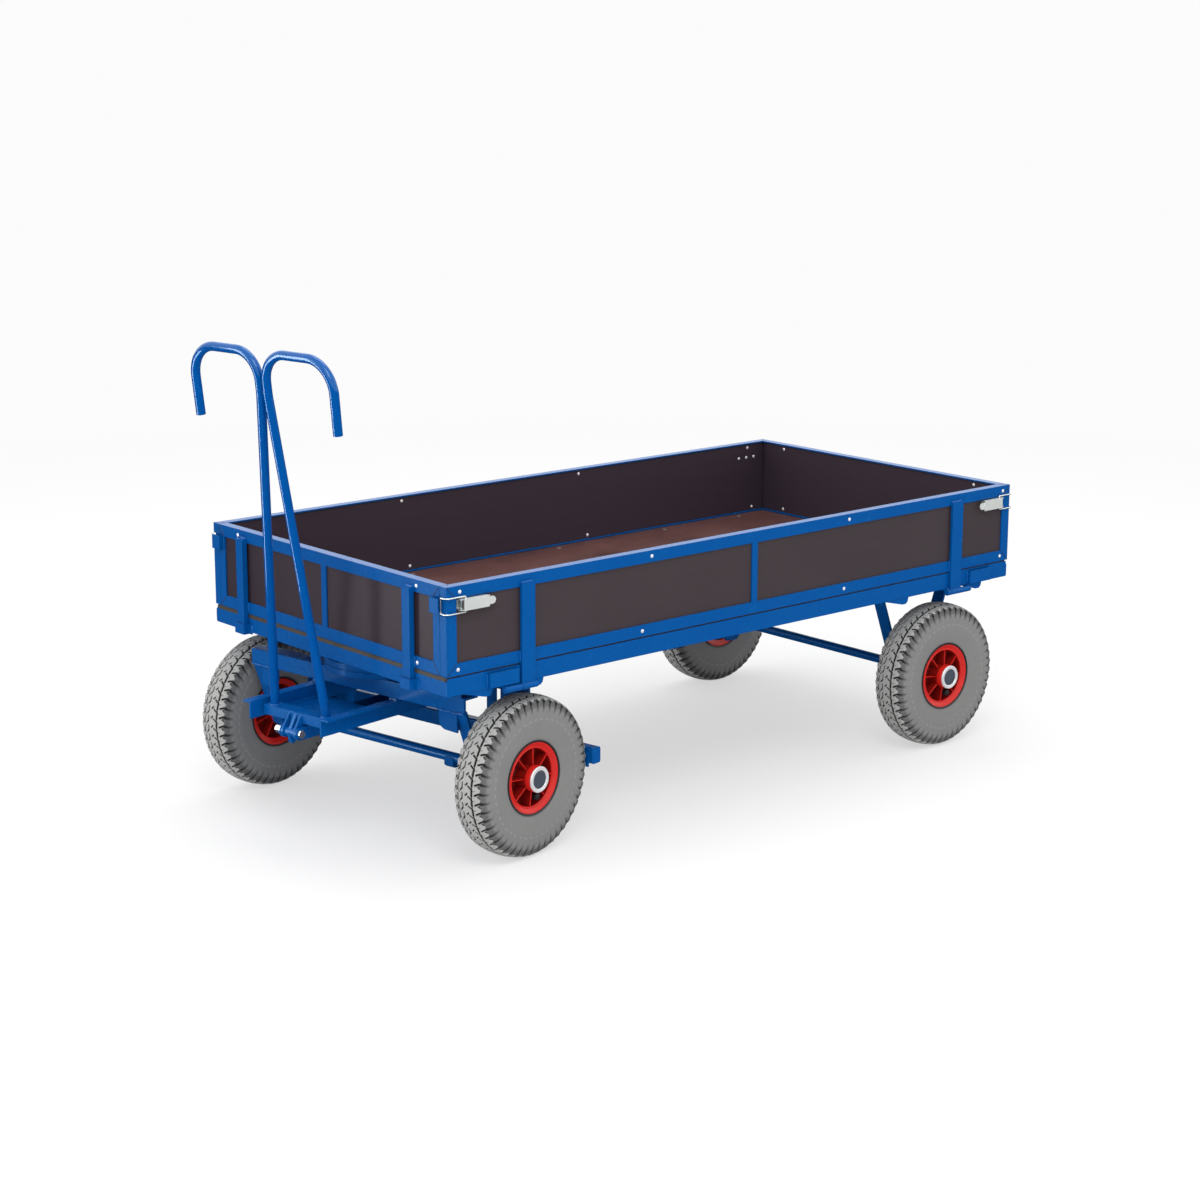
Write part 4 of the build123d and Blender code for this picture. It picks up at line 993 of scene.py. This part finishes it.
FLOOR_HALF, FLOOR_Z = 400, -0.0005
floor_mesh = bpy.data.meshes.new("floor")
floor_corners = [(x * FLOOR_HALF, y * FLOOR_HALF, FLOOR_Z)
                 for x, y in ((-1, -1), (1, -1), (1, 1), (-1, 1))]
floor_mesh.from_pydata(floor_corners, [], [(0, 1, 2, 3)])
floor = bpy.data.objects.new("floor", floor_mesh)
SCENE.collection.objects.link(floor)
floor_mesh.materials.append(pale_floor())


# ---------------------------------------------------------------- surround and lights
def white_world():
    """Even white surround, a little stronger to the camera and in reflections."""
    base_level, camera_extra, glossy_extra = 0.90, 0.07, 0.5
    world = bpy.data.worlds.new("studio")
    SCENE.world = world
    world.use_nodes = True
    nodes, links = world.node_tree.nodes, world.node_tree.links
    background = nodes["Background"]
    background.inputs[0].default_value = (1.0, 1.0, 1.0, 1.0)
    ray = nodes.new("ShaderNodeLightPath").outputs

    def combine(operation, first, second):
        node = nodes.new("ShaderNodeMath")
        node.operation = operation
        for socket, value in zip(node.inputs, (first, second)):
            if isinstance(value, bpy.types.NodeSocket):
                links.new(value, socket)
            else:
                socket.default_value = value
        return node.outputs[0]

    level = combine("ADD", base_level, combine("MULTIPLY", ray["Is Camera Ray"], camera_extra))
    level = combine("ADD", level, combine("MULTIPLY", ray["Is Glossy Ray"], glossy_extra))
    links.new(level, background.inputs[1])


def area(name, at, target, size, power):
    """A square area light aimed at a target."""
    light = bpy.data.lights.new(name, "AREA")
    light.shape, light.size, light.energy = "SQUARE", size, power
    lamp = bpy.data.objects.new(name, light)
    SCENE.collection.objects.link(lamp)
    lamp.location = at
    lamp.rotation_mode = "QUATERNION"
    lamp.rotation_quaternion = (Vector(target) - Vector(at)).to_track_quat("-Z", "Y")
    return lamp


white_world()
area("key", at=(-2.6, -3.4, 4.6), target=(0, 0, 0.4), size=2.4, power=95)
area("top", at=(0.6, 0.6, 5.2), target=(0, 0, 0.3), size=3.2, power=80)
area("fill", at=(-5.5, 1.5, 2.2), target=(-0.8, 0, 0.5), size=2.0, power=20)
# a strip ahead of the cart that only shows in reflections
strip = area("strip", at=(-2.45, 0.80, 0.72), target=(-1.16, 0, 0.72), size=0.40, power=22)
strip.data.shape, strip.data.size_y = "RECTANGLE", 1.4
strip.visible_diffuse = False
strip.visible_camera = False

# ---------------------------------------------------------------- camera
CAMERA_TARGET = Vector((-0.0384, 0.03579, 0.50808))
CAMERA_DISTANCE = 6.86591
AZIMUTH, ELEVATION = math.radians(-40.98), math.radians(12.78)
ROLL = math.radians(0.14)

lens = bpy.data.cameras.new("camera")
lens.lens, lens.sensor_width, lens.sensor_fit = 76.1076, 36.0, "HORIZONTAL"
lens.shift_x, lens.shift_y = -0.006458333, -0.02
lens.clip_start, lens.clip_end = 0.1, 100.0
camera = bpy.data.objects.new("camera", lens)
SCENE.collection.objects.link(camera)
backward = Vector((math.sin(AZIMUTH) * math.cos(ELEVATION),
                   -math.cos(AZIMUTH) * math.cos(ELEVATION), math.sin(ELEVATION)))
camera.rotation_mode = "QUATERNION"
camera.location = CAMERA_TARGET + backward * CAMERA_DISTANCE
camera.rotation_quaternion = ((-backward).to_track_quat("-Z", "Y")
                              @ Matrix.Rotation(ROLL, 3, "Z").to_quaternion())
SCENE.camera = camera
# guards against a colour configuration that has no Standard view
try:
    SCENE.view_settings.view_transform = "Standard"
except TypeError:
    pass

bpy.context.view_layer.update()
